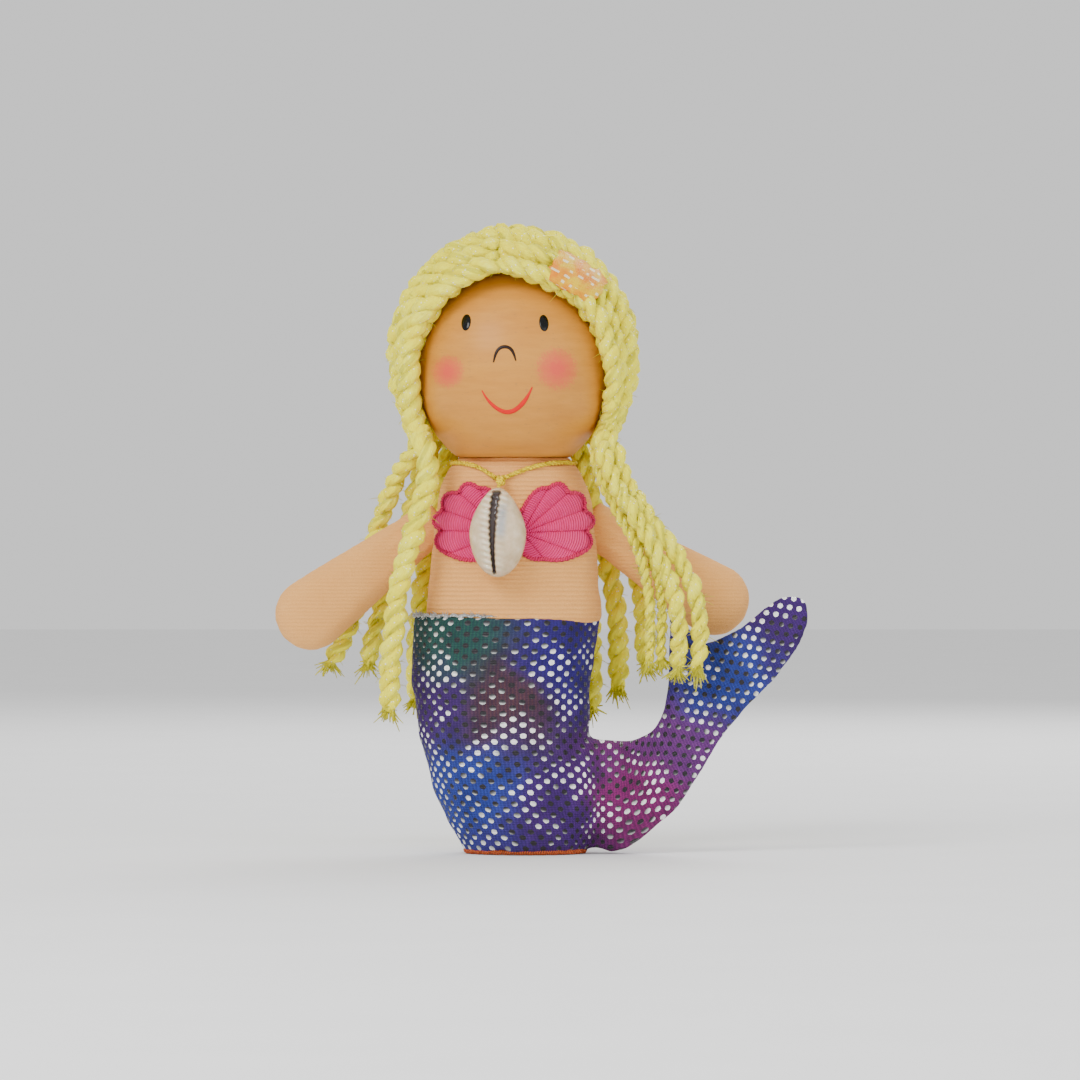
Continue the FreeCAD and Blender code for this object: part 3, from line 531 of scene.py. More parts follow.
# ---- Routes and yarn -----------------------------------------------------------------
def spline_points(control):
    """Points in mm along the smooth NURBS curve of some control points in mm."""
    curve = bpy.data.curves.new("route", "CURVE")
    curve.dimensions = "3D"
    spline = curve.splines.new("NURBS")
    spline.points.add(len(control) - 1)
    for point, place in zip(spline.points, control):
        point.co = (place[0] * MM, place[1] * MM, place[2] * MM, 1.0)
    spline.order_u = 3
    spline.use_endpoint_u = True
    spline.resolution_u = 10
    holder = bpy.data.objects.new("route", curve)
    bpy.context.collection.objects.link(holder)
    bpy.context.view_layer.update()
    mesh = bpy.data.meshes.new_from_object(holder)
    points = [v.co / MM for v in mesh.vertices]
    bpy.data.objects.remove(holder)
    bpy.data.curves.remove(curve)
    bpy.data.meshes.remove(mesh)
    return points


def distances(points):
    """How far along a line each of its points is."""
    reach = [0.0]
    for a, b in zip(points, points[1:]):
        reach.append(reach[-1] + (b - a).length)
    return reach


def even(points, step):
    """The same line with points about a step apart."""
    reach = distances(points)
    count = max(2, round(reach[-1] / step))
    spread, index = [], 0
    for k in range(count + 1):
        goal = reach[-1] * k / count
        while index < len(reach) - 2 and reach[index + 1] < goal:
            index += 1
        span = max(1e-9, reach[index + 1] - reach[index])
        spread.append(points[index].lerp(points[index + 1], clamp((goal - reach[index]) / span)))
    return spread


def frames(points):
    """Two directions across a line at each point, turning as little as possible."""
    made, across = [], None
    for k in range(len(points)):
        ahead = points[min(k + 1, len(points) - 1)] - points[max(k - 1, 0)]
        ahead.normalize()
        if across is None:
            across = ahead.orthogonal().normalized()
        else:
            across = (across - ahead * across.dot(ahead)).normalized()
        made.append((across, ahead.cross(across)))
    return made


STEP = 0.6  # mm between the rings of yarn
PLIES = 2
SIDES = 9  # of a ply
LUMPS = 0.16  # how rough the slub yarn's surface is, as a share of its radius


class Bundle:
    """Collects tubes into one mesh with the attributes the yarn material reads."""

    def __init__(self):
        self.vertices, self.faces, self.ply = [], [], []

    def tube(self, centres, radii, seed, along=None, sides=SIDES, lumps=0.0):
        base = len(self.vertices)
        travelled = 0.0
        for k, (here, (side, up)) in enumerate(zip(centres, frames(centres))):
            if k:
                travelled += (here - centres[k - 1]).length
            reach = along[k] if along else travelled
            for j in range(sides):
                angle = TAU * j / sides
                out = side * math.cos(angle) + up * math.sin(angle)
                spot = (here + out * radii[k]) / 0.85
                lump = 1 + lumps * noise.noise(spot) + 0.5 * lumps * noise.noise(spot * 2.3)
                self.vertices.append(here + out * radii[k] * lump)
                self.ply.append((angle, reach, seed))
        rows = len(centres)
        for face in grid_faces(rows, sides, wrap=True):
            self.faces.append(tuple(base + i for i in face))
        for row in (0, rows - 1):
            start, hub = base + row * sides, len(self.vertices)
            self.vertices.append(centres[row].copy())
            self.ply.append((0.0, 0.0, seed))
            self.faces += [(start + j, start + (j + 1) % sides, hub) for j in range(sides)]

    def make(self, name, material):
        made = piece(name, self.vertices, self.faces, material)
        store(made, "ply", self.ply)
        store(made, "rest", [tuple(v) for v in self.vertices])
        return made


def ply_lines(points, radius, pitch, seed, taper_end=True):
    """The centres and radii of the two plies that twist round a line."""
    across = frames(points)
    reach = distances(points)
    phase = random.Random(seed).uniform(0, TAU)
    lines = []
    for p in range(PLIES):
        centres, radii = [], []
        for here, s, (side, up) in zip(points, reach, across):
            drift = 0.6 * rough(s / 14.0, seed * 3.1, 5.0)
            angle = TAU * s / pitch + drift * 2.2 + phase + TAU * p / PLIES
            slub = 1 + 0.42 * rough(s / 3.4, seed * 1.7, p * 9.0)
            slub += 0.22 * rough(s / 1.3, seed * 2.3, p * 4.0)
            ease = 1.0
            if taper_end:
                ease = mix(0.55, 1.0, smoothstep(reach[-1] - s, 0.0, 3.0))
            centres.append(here + (side * math.cos(angle) + up * math.sin(angle))
                           * radius * 0.50 * ease)
            radii.append(radius * 0.60 * slub * ease)
        lines.append((centres, radii))
    return lines


def bent(start, heading, bend, reach, shares):
    """A short fibre's path, which starts out along heading and bends on its way."""
    return [start + heading * reach * t + bend * reach * t * t for t in shares]


def hairs(bundle, lines, count, length, seed, forward=False):
    """Loose fibres that stand off the plies; forward keeps them off what hangs behind."""
    rng = random.Random(seed)
    thick = 0.075
    for _ in range(count):
        centres, radii = lines[rng.randrange(len(lines))]
        k = rng.randrange(len(centres) - 3)
        ahead = (centres[k + 1] - centres[k]).normalized()
        out = Vector((rng.gauss(0, 1), rng.gauss(0, 1), rng.gauss(0, 1)))
        out = (out - ahead * out.dot(ahead)).normalized()
        if forward:
            out.y = -abs(out.y)
        here = centres[k] + out * radii[k] * 0.8
        heading = (out + ahead * rng.uniform(-1.2, 1.2)).normalized()
        bend = Vector((rng.gauss(0, 0.4), rng.gauss(0, 0.4), rng.gauss(-0.25, 0.4)))
        if forward:
            bend.y = -abs(bend.y)
        path = bent(here, heading, bend, length * rng.uniform(0.4, 1.0), (0, 0.33, 0.66, 1.0))
        bundle.tube(path, [thick, thick, thick * 0.8, thick * 0.35], rng.random(), sides=3)


def fray(bundle, lines, seed, length, forward):
    """The plies come apart into fibres at a cut end."""
    rng = random.Random(seed)
    for centres, radii in lines:
        tip, before = centres[-1], centres[-4]
        heading = (tip - before).normalized()
        for _ in range(24):
            spread = Vector((rng.gauss(0, 0.5), rng.gauss(0, 0.5), rng.gauss(0, 0.35)))
            if forward:
                spread.y = -abs(spread.y)
            start = centres[-3] + spread * radii[-1] * 0.8
            droop = Vector((0, 0, -0.25))
            path = bent(start, heading, spread + droop, length * rng.uniform(0.45, 1.0),
                        (0, 0.3, 0.6, 1.0))
            thick = rng.uniform(0.16, 0.34)
            bundle.tube(path, [thick, thick * 0.95, thick * 0.8, thick * 0.4], rng.random(),
                        sides=5)


# ---- Hair on the head ----------------------------------------------------------------
PARTING_X = -3.5
RIM_HEIGHT = 88.4  # where the hair's outer surface ends on the head
WINDOW = (-0.4, 98.0, 19.3, 23.6)  # middle x and z, half width and half height of the face


def on_hair(direction, depth):
    """A point so deep inside the outer surface of the hair, seen from its middle."""
    half = HAIR_HALF - Vector((depth, depth, depth))
    return HAIR_CENTRE + Vector([d * h for d, h in zip(direction, half)])


def clear_of_face(point, depth, radius):
    """Moves a point of a strand out of the face's window, along the hair's surface."""
    middle_x, middle_z, half_x, half_z = WINDOW
    if point.y > -1.0:
        return point
    qx = (point.x - middle_x) / (half_x + radius)
    qz = (point.z - middle_z) / (half_z + radius)
    lowered = smoothstep(point.x, PARTING_X, 3.0) * smoothstep(point.z, 101.0, 111.0)
    gap = math.hypot(qx, qz) / (1 - 0.13 * lowered)
    if gap >= 1.0 or gap < 1e-6:
        return point
    x = middle_x + qx / gap * (half_x + radius)
    z = middle_z + qz / gap * (half_z + radius)
    half = HAIR_HALF - Vector((depth, depth, depth))
    return Vector((x, front_y(HAIR_CENTRE, half, x, z), z))


def crown_path(front_to_back, side, end, radius, depth, seed):
    """From the parting over the head to a place on the hair's lower rim."""
    lean = math.radians(mix(-44.0, 104.0, front_to_back))
    start = Vector((PARTING_X / HAIR_HALF.x, math.sin(lean), math.cos(lean))).normalized()
    half = HAIR_HALF - Vector((depth, depth, depth))
    finish = Vector((end[0] / half.x, end[1] / half.y, (RIM_HEIGHT - HAIR_CENTRE.z) / half.z))
    finish.normalize()
    bulge = (1 - front_to_back) ** 2
    points = []
    for k in range(9):
        u = k / 8
        way = start.slerp(finish, u)
        swell = math.sin(math.pi * u)
        way = way + Vector((side * 0.35, 0.30, 0.10)) * swell * bulge
        way = way + Vector((side * 0.10, 0.0, 0.12)) * swell * (1 - bulge)
        way.normalize()
        here = clear_of_face(on_hair(way, depth), depth, radius)
        drift = [0.7 * rough(u * 3, seed * 1.9, i * 7.0) for i in range(3)]
        points.append(here + Vector(drift) * swell)
    return points


def add_strand(bundle, points, radius, seed, fibres=72):
    """Adds one strand of yarn with its loose fibres."""
    lines = ply_lines(even(points, STEP), radius, 7.4, seed)
    for centres, radii in lines:
        bundle.tube(centres, radii, seed * 0.37, lumps=LUMPS)
    hairs(bundle, lines, fibres, 1.7, seed + 900)


# The strands that end on the head: crown share and rim place (x, y) in mm, front to back.
LEFT_RIM = [(0.10, (-19.6, -9.2)), (0.21, (-21.2, -5.0)), (0.32, (-21.6, -0.6))]
RIGHT_RIM = [(0.19, (21.2, -5.4)), (0.30, (21.8, -0.8)), (0.41, (21.2, 3.6))]


def crown(name, side, rim, seed):
    """Half of the head's hair: strands to the rim, over two rows of deeper ones."""
    bundle = Bundle()
    for index, (share, end) in enumerate(rim):
        path = spline_points(crown_path(share, side, end, 2.3, 2.3, seed + index)
                             + [(end[0] * 0.93, end[1] * 0.93, 86.9)])
        add_strand(bundle, path, 2.25, seed + index)
    for layer, (count, depth, radius) in enumerate(((15, 4.7, 2.0), (13, 6.3, 1.7))):
        for index in range(count):
            share = (index + 0.5 * layer + 0.3) / count
            bearing = math.radians(mix(-24.0, 92.0, share))
            end = (side * 20.4 * math.cos(bearing), 18.4 * math.sin(bearing))
            path = crown_path(share, side, end, radius + 0.4, depth, seed + 50 * layer + index + 7)
            path.append(Vector((end[0] * 0.92, end[1] * 0.92, 86.8)))
            add_strand(bundle, spline_points(path), radius, seed + 60 * layer + index + 11,
                       fibres=24)
    made = bundle.make(name + "_yarn", YARN)
    mount(made, "head", "yarn", name)


crown("hair_crown_left", -1, LEFT_RIM, 100)
crown("hair_crown_right", 1, RIGHT_RIM, 200)

# ---- Locks: each runs on from a strand of the crown ----------------------------------
# name: (yarn's radius, crown share, side, rim place, body, route from the top down), in mm
LOCKS = {
    "lock_left_front": (2.2, 0.0, -1, (-18.2, -12.4), "hair_left",
                        [(-18.4, -11.2, 75.8), (-19.9, -11.4, 69.6), (-22.4, -11.6, 62.6),
                         (-24.2, -11.3, 54.6), (-25.1, -11.0, 46.2), (-25.9, -10.8, 37.8),
                         (-25.9, -10.6, 30.0)]),
    "lock_right_outer": (1.8, 0.09, 1, (20.6, -9.6), "hair_right",
                         [(24.6, -10.4, 75.8), (28.2, -11.0, 69.6), (32.6, -12.0, 64.8),
                          (36.4, -12.7, 58.2), (38.6, -13.0, 51.2), (38.8, -13.1, 44.4),
                          (37.9, -13.0, 38.4)]),
    "lock_right_inner": (1.8, 0.0, 1, (17.8, -13.2), "hair_right",
                         [(22.2, -13.6, 75.8), (25.6, -14.2, 70.0), (29.2, -14.6, 64.0),
                          (32.2, -14.3, 57.4), (34.3, -13.8, 50.6), (34.6, -13.4, 44.2),
                          (33.9, -13.0, 38.4)]),
    "lock_right_ply_left": (1.1, 0.05, 1, (16.4, -9.6), "hair_right",
                            [(19.4, -10.0, 75.8), (22.6, -10.6, 69.6), (25.9, -11.0, 64.0),
                             (27.6, -11.3, 57.8), (28.6, -11.4, 51.4), (28.3, -11.3, 45.2),
                             (28.2, -11.0, 39.6)]),
    "lock_right_ply_right": (1.1, 0.14, 1, (18.2, -5.4), "hair_right",
                             [(21.0, -8.0, 75.8), (24.4, -8.6, 69.8), (28.0, -9.6, 64.2),
                              (30.2, -10.4, 58.0), (31.0, -11.0, 51.6), (30.6, -11.1, 45.4),
                              (30.7, -11.0, 39.8)]),
    "lock_back_far_left": (1.9, 0.43, -1, (-20.6, 4.6), "hair_back",
                           [(-26.2, 12.0, 75.6), (-28.6, 13.0, 69.4), (-30.4, 13.2, 61.8),
                            (-32.4, 13.0, 54.2), (-35.0, 12.6, 46.6), (-39.3, 12.2, 39.0)]),
    "lock_back_left": (2.0, 0.54, -1, (-17.4, 10.4), "hair_back",
                       [(-21.0, 13.2, 75.6), (-22.6, 13.9, 68.4), (-25.0, 13.8, 60.4),
                        (-27.9, 13.2, 52.4), (-30.0, 12.8, 45.4), (-30.9, 12.4, 39.0)]),
    "lock_back_mid_left": (2.0, 0.65, -1, (-13.6, 14.4), "hair_back",
                           [(-15.8, 14.2, 75.6), (-17.2, 14.7, 67.4), (-19.2, 14.6, 58.4),
                            (-20.3, 14.2, 49.4), (-20.9, 13.8, 40.4), (-20.9, 13.4, 31.4)]),
    "lock_back_1": (2.1, 0.76, -1, (-9.2, 16.4), "hair_back",
                    [(-10.6, 14.4, 75.6), (-11.0, 15.0, 67.0), (-12.0, 15.1, 58.0),
                     (-12.4, 14.8, 49.0), (-13.4, 14.6, 40.0), (-13.6, 14.2, 31.0)]),
    "lock_back_2": (2.1, 0.88, -1, (-4.6, 17.6), "hair_back",
                    [(-5.2, 14.6, 75.6), (-5.0, 15.2, 67.0), (-5.6, 15.2, 58.0),
                     (-5.6, 14.9, 49.0), (-6.6, 14.6, 40.0), (-6.5, 14.3, 30.0)]),
    "lock_back_3": (2.1, 0.96, 1, (0.2, 17.8), "hair_back",
                    [(0.2, 14.6, 75.6), (0.8, 15.2, 67.0), (0.8, 15.3, 58.0),
                     (1.4, 15.0, 49.0), (1.0, 14.7, 40.0), (1.3, 14.3, 31.0)]),
    "lock_back_4": (2.1, 0.86, 1, (5.0, 17.4), "hair_back",
                    [(5.6, 14.6, 75.6), (6.6, 15.2, 67.0), (7.4, 15.2, 58.0),
                     (8.4, 14.9, 49.0), (8.4, 14.6, 40.0), (9.2, 14.2, 29.6)]),
    "lock_back_mid_right": (2.1, 0.75, 1, (9.8, 16.2), "hair_back",
                            [(11.0, 14.4, 75.6), (12.8, 15.0, 67.0), (14.6, 15.0, 58.0),
                             (16.2, 14.6, 48.4), (16.6, 14.2, 38.8), (16.4, 14.0, 29.4)]),
    "lock_back_right": (2.1, 0.64, 1, (14.0, 14.0), "hair_back",
                        [(16.2, 13.6, 75.6), (18.4, 14.4, 67.4), (20.4, 14.5, 58.4),
                         (22.0, 14.2, 49.6), (22.3, 13.9, 41.2), (22.0, 13.6, 33.6)]),
    "lock_back_far_right": (2.1, 0.53, 1, (17.8, 10.6), "hair_back",
                            [(21.2, 12.8, 75.6), (23.8, 13.7, 68.0), (26.0, 13.9, 60.0),
                             (27.6, 13.6, 52.0), (27.9, 13.3, 44.8), (27.8, 13.0, 38.6)]),
}
ROOT_NODES = {"hair_left": "hair_roots_left", "hair_right": "hair_roots_right",
              "hair_back": "hair_roots_back"}


def lock(seed, name, radius, share, side, rim, body, route):
    """One strand: its upper yarn from the parting to the neck, then the hanging cord."""
    top = Vector(route[0])
    upward = (top - Vector(route[1])).normalized()
    above = crown_path(share, side, rim, max(radius, 1.6), 2.3 if radius > 1.5 else 4.4, seed)
    above += [Vector((rim[0], rim[1], 85.3)), top + upward * 3.6, top]
    upper = even(spline_points(above), STEP)
    lower = even(spline_points(route), STEP)
    split = len(upper) - 1
    lines = ply_lines(upper + lower[1:], radius * 1.02, 7.2 if radius > 1.5 else 4.6, seed)
    high, low = Bundle(), Bundle()
    for centres, radii in lines:
        reach = [STEP * k for k in range(len(centres))]
        tucked = radii[:split + 1] + [radii[split + k] * (0.93 - 0.06 * k) for k in (1, 2, 3)]
        high.tube(centres[:split + 4], tucked, seed * 0.37, reach[:split + 4], lumps=LUMPS)
        low.tube(centres[split:], radii[split:], seed * 0.37, reach[split:], lumps=LUMPS)
    hairs(high, [(c[:split], r[:split]) for c, r in lines], 60, 1.7, seed + 500)
    loose = Bundle()
    forward = body == "hair_right"
    hairs(loose, [(c[split:], r[split:]) for c, r in lines], 110, 1.7, seed + 700, forward=forward)
    fray(loose, lines, seed + 300, 1.2 + 0.75 * radius, forward)
    strand = high.make(name + "_upper", YARN)
    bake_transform(strand)
    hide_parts(ROOT_NODES[body])
    hanging = low.make(name + "_yarn", YARN)
    fibres = loose.make(name + "_fibres", YARN)
    for strand in (hanging, fibres):
        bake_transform(strand)
        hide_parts(name)


for number, (label, facts) in enumerate(LOCKS.items()):
    lock(400 + number, label, *facts)


# ---- Stuffed cloth -------------------------------------------------------------------
PUFF_SCALE = 10.0  # the cloth solver is steadier on pieces of about a metre
PUFF_FRAMES = 20
PUFF_PRESSURE = 4.0


def puff(obj, voxel, cap):
    """Remeshes a closed skin evenly and swells it as stuffing does, by at most cap mm."""
    mesh = obj.data
    mesh.transform(Matrix.Scale(PUFF_SCALE, 4))
    remesh = obj.modifiers.new("even", "REMESH")
    remesh.mode = "VOXEL"
    remesh.voxel_size = voxel * MM * PUFF_SCALE
    remesh.use_smooth_shade = True
    apply_modifiers(obj)
    before = [v.co.copy() for v in obj.data.vertices]
    cloth = obj.modifiers.new("cloth", "CLOTH")
    settings = cloth.settings
    settings.use_pressure = True
    settings.uniform_pressure_force = PUFF_PRESSURE
    settings.effector_weights.gravity = 0.0
    settings.quality = 5
    cloth.point_cache.frame_start = 1
    cloth.point_cache.frame_end = PUFF_FRAMES
    for frame_number in range(1, PUFF_FRAMES + 1):
        bpy.context.scene.frame_set(frame_number)
    apply_modifiers(obj)
    bpy.context.scene.frame_set(1)
    limit = cap * MM * PUFF_SCALE
    for vertex, rest in zip(obj.data.vertices, before):
        step = vertex.co - rest
        if step.length > limit:
            vertex.co = rest + step.normalized() * limit
    obj.data.transform(Matrix.Scale(1 / PUFF_SCALE, 4))
    relax(obj, 2, 0.5)


def apply_modifiers(obj):
    """Puts what the modifiers make in place of the mesh, and drops them."""
    graph = bpy.context.evaluated_depsgraph_get()
    made = bpy.data.meshes.new_from_object(obj.evaluated_get(graph))
    old = obj.data
    obj.modifiers.clear()
    obj.data = made
    bpy.data.meshes.remove(old)


def relax(obj, times, factor):
    """Smooths a mesh."""
    bm = bmesh.new()
    bm.from_mesh(obj.data)
    for _ in range(times):
        bmesh.ops.smooth_vert(bm, verts=bm.verts, factor=factor, use_axis_x=True,
                              use_axis_y=True, use_axis_z=True)
    bm.to_mesh(obj.data)
    bm.free()


def subdivided(obj):
    """Divides every face once, rounding the shape."""
    modifier = obj.modifiers.new("fine", "SUBSURF")
    modifier.levels = 1
    modifier.render_levels = 1
    apply_modifiers(obj)
    obj.data.polygons.foreach_set("use_smooth", [True] * len(obj.data.polygons))


def thicken(obj, thickness):
    """Gives a sheet its thickness in mm, inwards."""
    solid = obj.modifiers.new("thick", "SOLIDIFY")
    solid.thickness = thickness * MM
    solid.offset = -1.0
    apply_modifiers(obj)


def shape_vertices(obj, change):
    """Moves every vertex as change(x, y, z in mm) says."""
    for vertex in obj.data.vertices:
        vertex.co = Vector(change(*(vertex.co / MM))) * MM


def keep_rest(obj):
    """Stores where each vertex is in mm, so that a material stays with its cloth."""
    store(obj, "rest", [tuple(v.co / MM) for v in obj.data.vertices])


def section_at(sections, height):
    """left, right and half depth of a sack at a height, between its listed levels."""
    if height <= sections[0][0]:
        return sections[0][1:]
    for low, high in zip(sections, sections[1:]):
        if height <= high[0]:
            t = (height - low[0]) / (high[0] - low[0])
            return tuple(mix(a, b, t) for a, b in zip(low[1:], high[1:]))
    return sections[-1][1:]


AROUND = 96  # points of an oval


def oval(left, right, depth, height, shrink=0.0):
    """A level oval ring between left and right."""
    middle, half = (left + right) / 2, (right - left) / 2 - shrink
    return [(middle + half * math.cos(TAU * j / AROUND),
             (depth - shrink) * math.sin(TAU * j / AROUND), height) for j in range(AROUND)]


# ---- Head and face -------------------------------------------------------------------
def head():
    """The turned ball, with its blind hole and flat under-side."""
    bore, floor = 8.68, 83.0
    profile = [(bore, 95.2), (bore, floor + 0.5), (bore + 0.5, floor)]
    edge = math.sqrt(1 - ((floor - HEAD_CENTRE.z) / HEAD_HALF.z) ** 2) * HEAD_HALF.x
    profile += [(mix(bore, edge, t), floor) for t in (0.3, 0.6, 0.9)]
    first = math.asin((floor + 0.5 - HEAD_CENTRE.z) / HEAD_HALF.z)
    for k in range(72):
        lift = mix(first, math.radians(89.2), k / 71)
        turned = 1 + 0.0009 * math.sin(lift * 46)
        profile.append((HEAD_HALF.x * math.cos(lift) * turned,
                        HEAD_CENTRE.z + HEAD_HALF.z * math.sin(lift)))
    loops = [[(r * math.cos(TAU * j / 128), r * math.sin(TAU * j / 128), z) for j in range(128)]
             for r, z in profile]
    made = rings("turned_head", loops, WOOD)
    mount(made, "head", "wood", "head_ball")


def on_face(x, z, proud):
    """A point standing proud of the front of the head."""
    y = front_y(HEAD_CENTRE, HEAD_HALF, x, z)
    out = Vector((x / HEAD_HALF.x ** 2, y / HEAD_HALF.y ** 2,
                  (z - HEAD_CENTRE.z) / HEAD_HALF.z ** 2))
    return Vector((x, y, z)) + out.normalized() * proud


def eye(node, x, z, lean):
    """A domed oval drop of black gloss paint."""
    half_x, half_z, dome = 0.98, 1.75, 0.34
    loops = []
    for ring in range(13):
        t = ring / 12
        reach, proud = math.cos(t * math.pi / 2), dome * math.sin(t * math.pi / 2)
        loop = []
        for j in range(40):
            a = TAU * j / 40
            dx, dz = half_x * reach * math.cos(a), half_z * reach * math.sin(a)
            turn = math.radians(lean)
            loop.append(tuple(on_face(x + dx * math.cos(turn) - dz * math.sin(turn),
                                      z + dx * math.sin(turn) + dz * math.cos(turn),
                                      proud - 0.04)))
        loops.append(loop)
    made = rings(node + "_paint", loops, BLACK)
    mount(made, "head", "black_paint", node)


def stroke(node, slot, points, widths, material):
    """A brushed line of paint, domed, thinner towards its ends."""
    line = even([Vector((x, 0, z)) for x, _, z in spline_points([(x, 0, z) for x, z in points])],
                0.12)
    loops = []
    for k, here in enumerate(line):
        share = k / (len(line) - 1)
        ahead = (line[min(k + 1, len(line) - 1)] - line[max(k - 1, 0)]).normalized()
        across = Vector((-ahead.z, 0, ahead.x))
        spot = share * (len(widths) - 1)
        low = min(int(spot), len(widths) - 2)
        half = mix(widths[low], widths[low + 1], spot - low) / 2
        half *= 1 + 0.06 * rough(share * 9, here.x, 3)
        loop = []
        for j in range(10):
            a = TAU * j / 10
            side = here + across * half * math.cos(a)
            loop.append(tuple(on_face(side.x, side.z, 0.03 + 0.13 * math.sin(a))))
        loops.append(loop)
    made = rings(node + "_paint", loops, material)
    mount(made, "head", slot, node)


head()
eye("eye_left", -9.8, 110.8, -6)
eye("eye_right", 6.3, 110.6, 6)
stroke("nose", "black_paint",
       [(-4.1, 102.4), (-3.75, 104.2), (-2.7, 105.6), (-0.9, 105.6), (0.15, 104.3), (0.5, 102.7)],
       [0.25, 0.62, 0.72, 0.62, 0.25], BROWN)
stroke("smile", "red_paint", [(-6.5, 96.6), (-5.2, 94.0), (-1.1, 91.5), (2.6, 94.2), (3.9, 97.3)],
       [0.2, 0.7, 0.92, 0.9, 0.22], RED)

# ---- Torso ---------------------------------------------------------------------------
TORSO_SECTIONS = [(50.4, -18.4, 18.6, 10.6), (62.0, -17.5, 17.7, 10.6), (70.0, -16.8, 17.0, 10.5),
                  (76.0, -15.7, 15.9, 10.3), (80.0, -14.0, 14.1, 10.0), (82.6, -12.1, 12.1, 9.8)]


def on_torso(x, z, proud):
    """A point standing proud of the front of the torso."""
    left, right, depth = section_at(TORSO_SECTIONS, z)
    middle, half = (left + right) / 2, (right - left) / 2
    q = clamp((x - middle) / half, -0.985, 0.985)
    y = -depth * math.sqrt(1 - q * q)
    out = Vector((q / half, y / depth ** 2, 0)).normalized()
    return Vector((x, y, z)) + out * proud


def torso():
    """The body's cover over its stuffing."""
    loops = [oval(-15.4, 15.6, 8.3, 44.0), oval(-16.6, 16.8, 9.3, 46.5)]
    for k in range(24):
        z = mix(49.0, 82.2, k / 23)
        loops.append(oval(*section_at(TORSO_SECTIONS, z), z, shrink=-0.30))
    loops += [oval(-11.4, 11.4, 9.0, 82.95), oval(-9.4, 9.4, 8.6, 82.95)]
    made = rings("torso_skin", loops, TORSO_KNIT)
    puff(made, 1.1, 0.5)
    subdivided(made)

    def settle(x, y, z):
        left, right, depth = section_at(TORSO_SECTIONS, z)
        swing = math.hypot((x - (left + right) / 2) / ((right - left) / 2), y / depth) / 1.008
        ease = smoothstep(z, 46, 51) * (1 - smoothstep(z, 80.5, 82.6))
        push = (0.34 * wobble(x, y, z, 7.5, 3) + 0.14 * wobble(x, y, z, 2.6, 9)) * ease
        limit = 1.012 / max(swing, 1e-6) if swing > 1.012 else 1.0
        scale = min(limit, 1.0) * (1 + push / 16)
        lift = 0.35 * smoothstep(z, 81.9, 82.6)
        return x * scale, y * scale, min(z + lift, 82.97)

    shape_vertices(made, settle)
    keep_rest(made)
    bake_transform(made)
    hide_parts("torso_cover", "torso_stuffing")


torso()


# ---- Arms ----------------------------------------------------------------------------
SHOULDER_X, SHOULDER_Y, SHOULDER_Z = 22.6, 5.0, 65.3  # the viewer's right one, in mm


def arm(label, side, lean, reach):
    """A stuffed paddle: a flat bag, crowned between its seams."""
    droop = math.radians(lean)
    root, hand, thick = 5.5, 8.1, 4.05
    loops = []
    inner, outer, rows = -9.0, reach + hand, 46
    for k in range(rows + 1):
        u = mix(inner, outer, k / rows)
        if u < 0:
            half = root * (1 - 0.10 * (u / inner) ** 2)
        elif u < reach:
            half = mix(root, hand, smoothstep(u, -6.0, reach + 3.0))
        else:
            half = hand * math.sqrt(max(1 - ((u - reach) / hand) ** 2, 0.004))
        swell = thick * min(1.0, (half / hand) ** 0.55) * mix(0.86, 1.0, smoothstep(u, -4.0, 8.0))
        loop = []
        for j in range(40):
            a = TAU * j / 40
            across = half * math.copysign(abs(math.cos(a)) ** 0.82, math.cos(a))
            depth = swell * math.copysign(abs(math.sin(a)) ** 0.9, math.sin(a))
            x = side * (SHOULDER_X + u * math.cos(droop)) + side * across * math.sin(droop)
            z = SHOULDER_Z - u * math.sin(droop) + across * math.cos(droop)
            loop.append((x, SHOULDER_Y + depth, z))
        loops.append(loop)
    made = rings(label + "_skin", loops, ARM_FLEECE)
    puff(made, 0.9, 0.45)
    subdivided(made)

    def settle(x, y, z):
        out = side * x - SHOULDER_X
        down = SHOULDER_Z - z
        along = out * math.cos(droop) + down * math.sin(droop)
        across = out * math.sin(droop) - down * math.cos(droop)
        half = mix(root, hand, smoothstep(along, -6, reach))
        forward = y - SHOULDER_Y
        seam = math.exp(-(forward / 0.42) ** 2) * smoothstep(abs(across), half * 0.6, half)
        gather = math.sin(across * 2.4 + side) * math.exp(-((along + 1.0) / 4.5) ** 2)
        lumps = 0.30 * wobble(x, y, z, 5.0, 6 + side) + 0.13 * wobble(x, y, z, 1.9, 2)
        pull = 1 - 0.045 * seam
        mid_x = side * (SHOULDER_X + along * math.cos(droop))
        mid_z = SHOULDER_Z - along * math.sin(droop)
        return (mid_x + (x - mid_x) * pull,
                SHOULDER_Y + forward * (1 + 0.05 * gather + lumps * 0.09),
                mid_z + (z - mid_z) * pull)

    shape_vertices(made, settle)
    keep_rest(made)
    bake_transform(made)
    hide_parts(label + "_cover", label + "_stuffing")


arm("arm_left", -1, 37.0, 25.0)
arm("arm_right", 1, 32.0, 22.7)

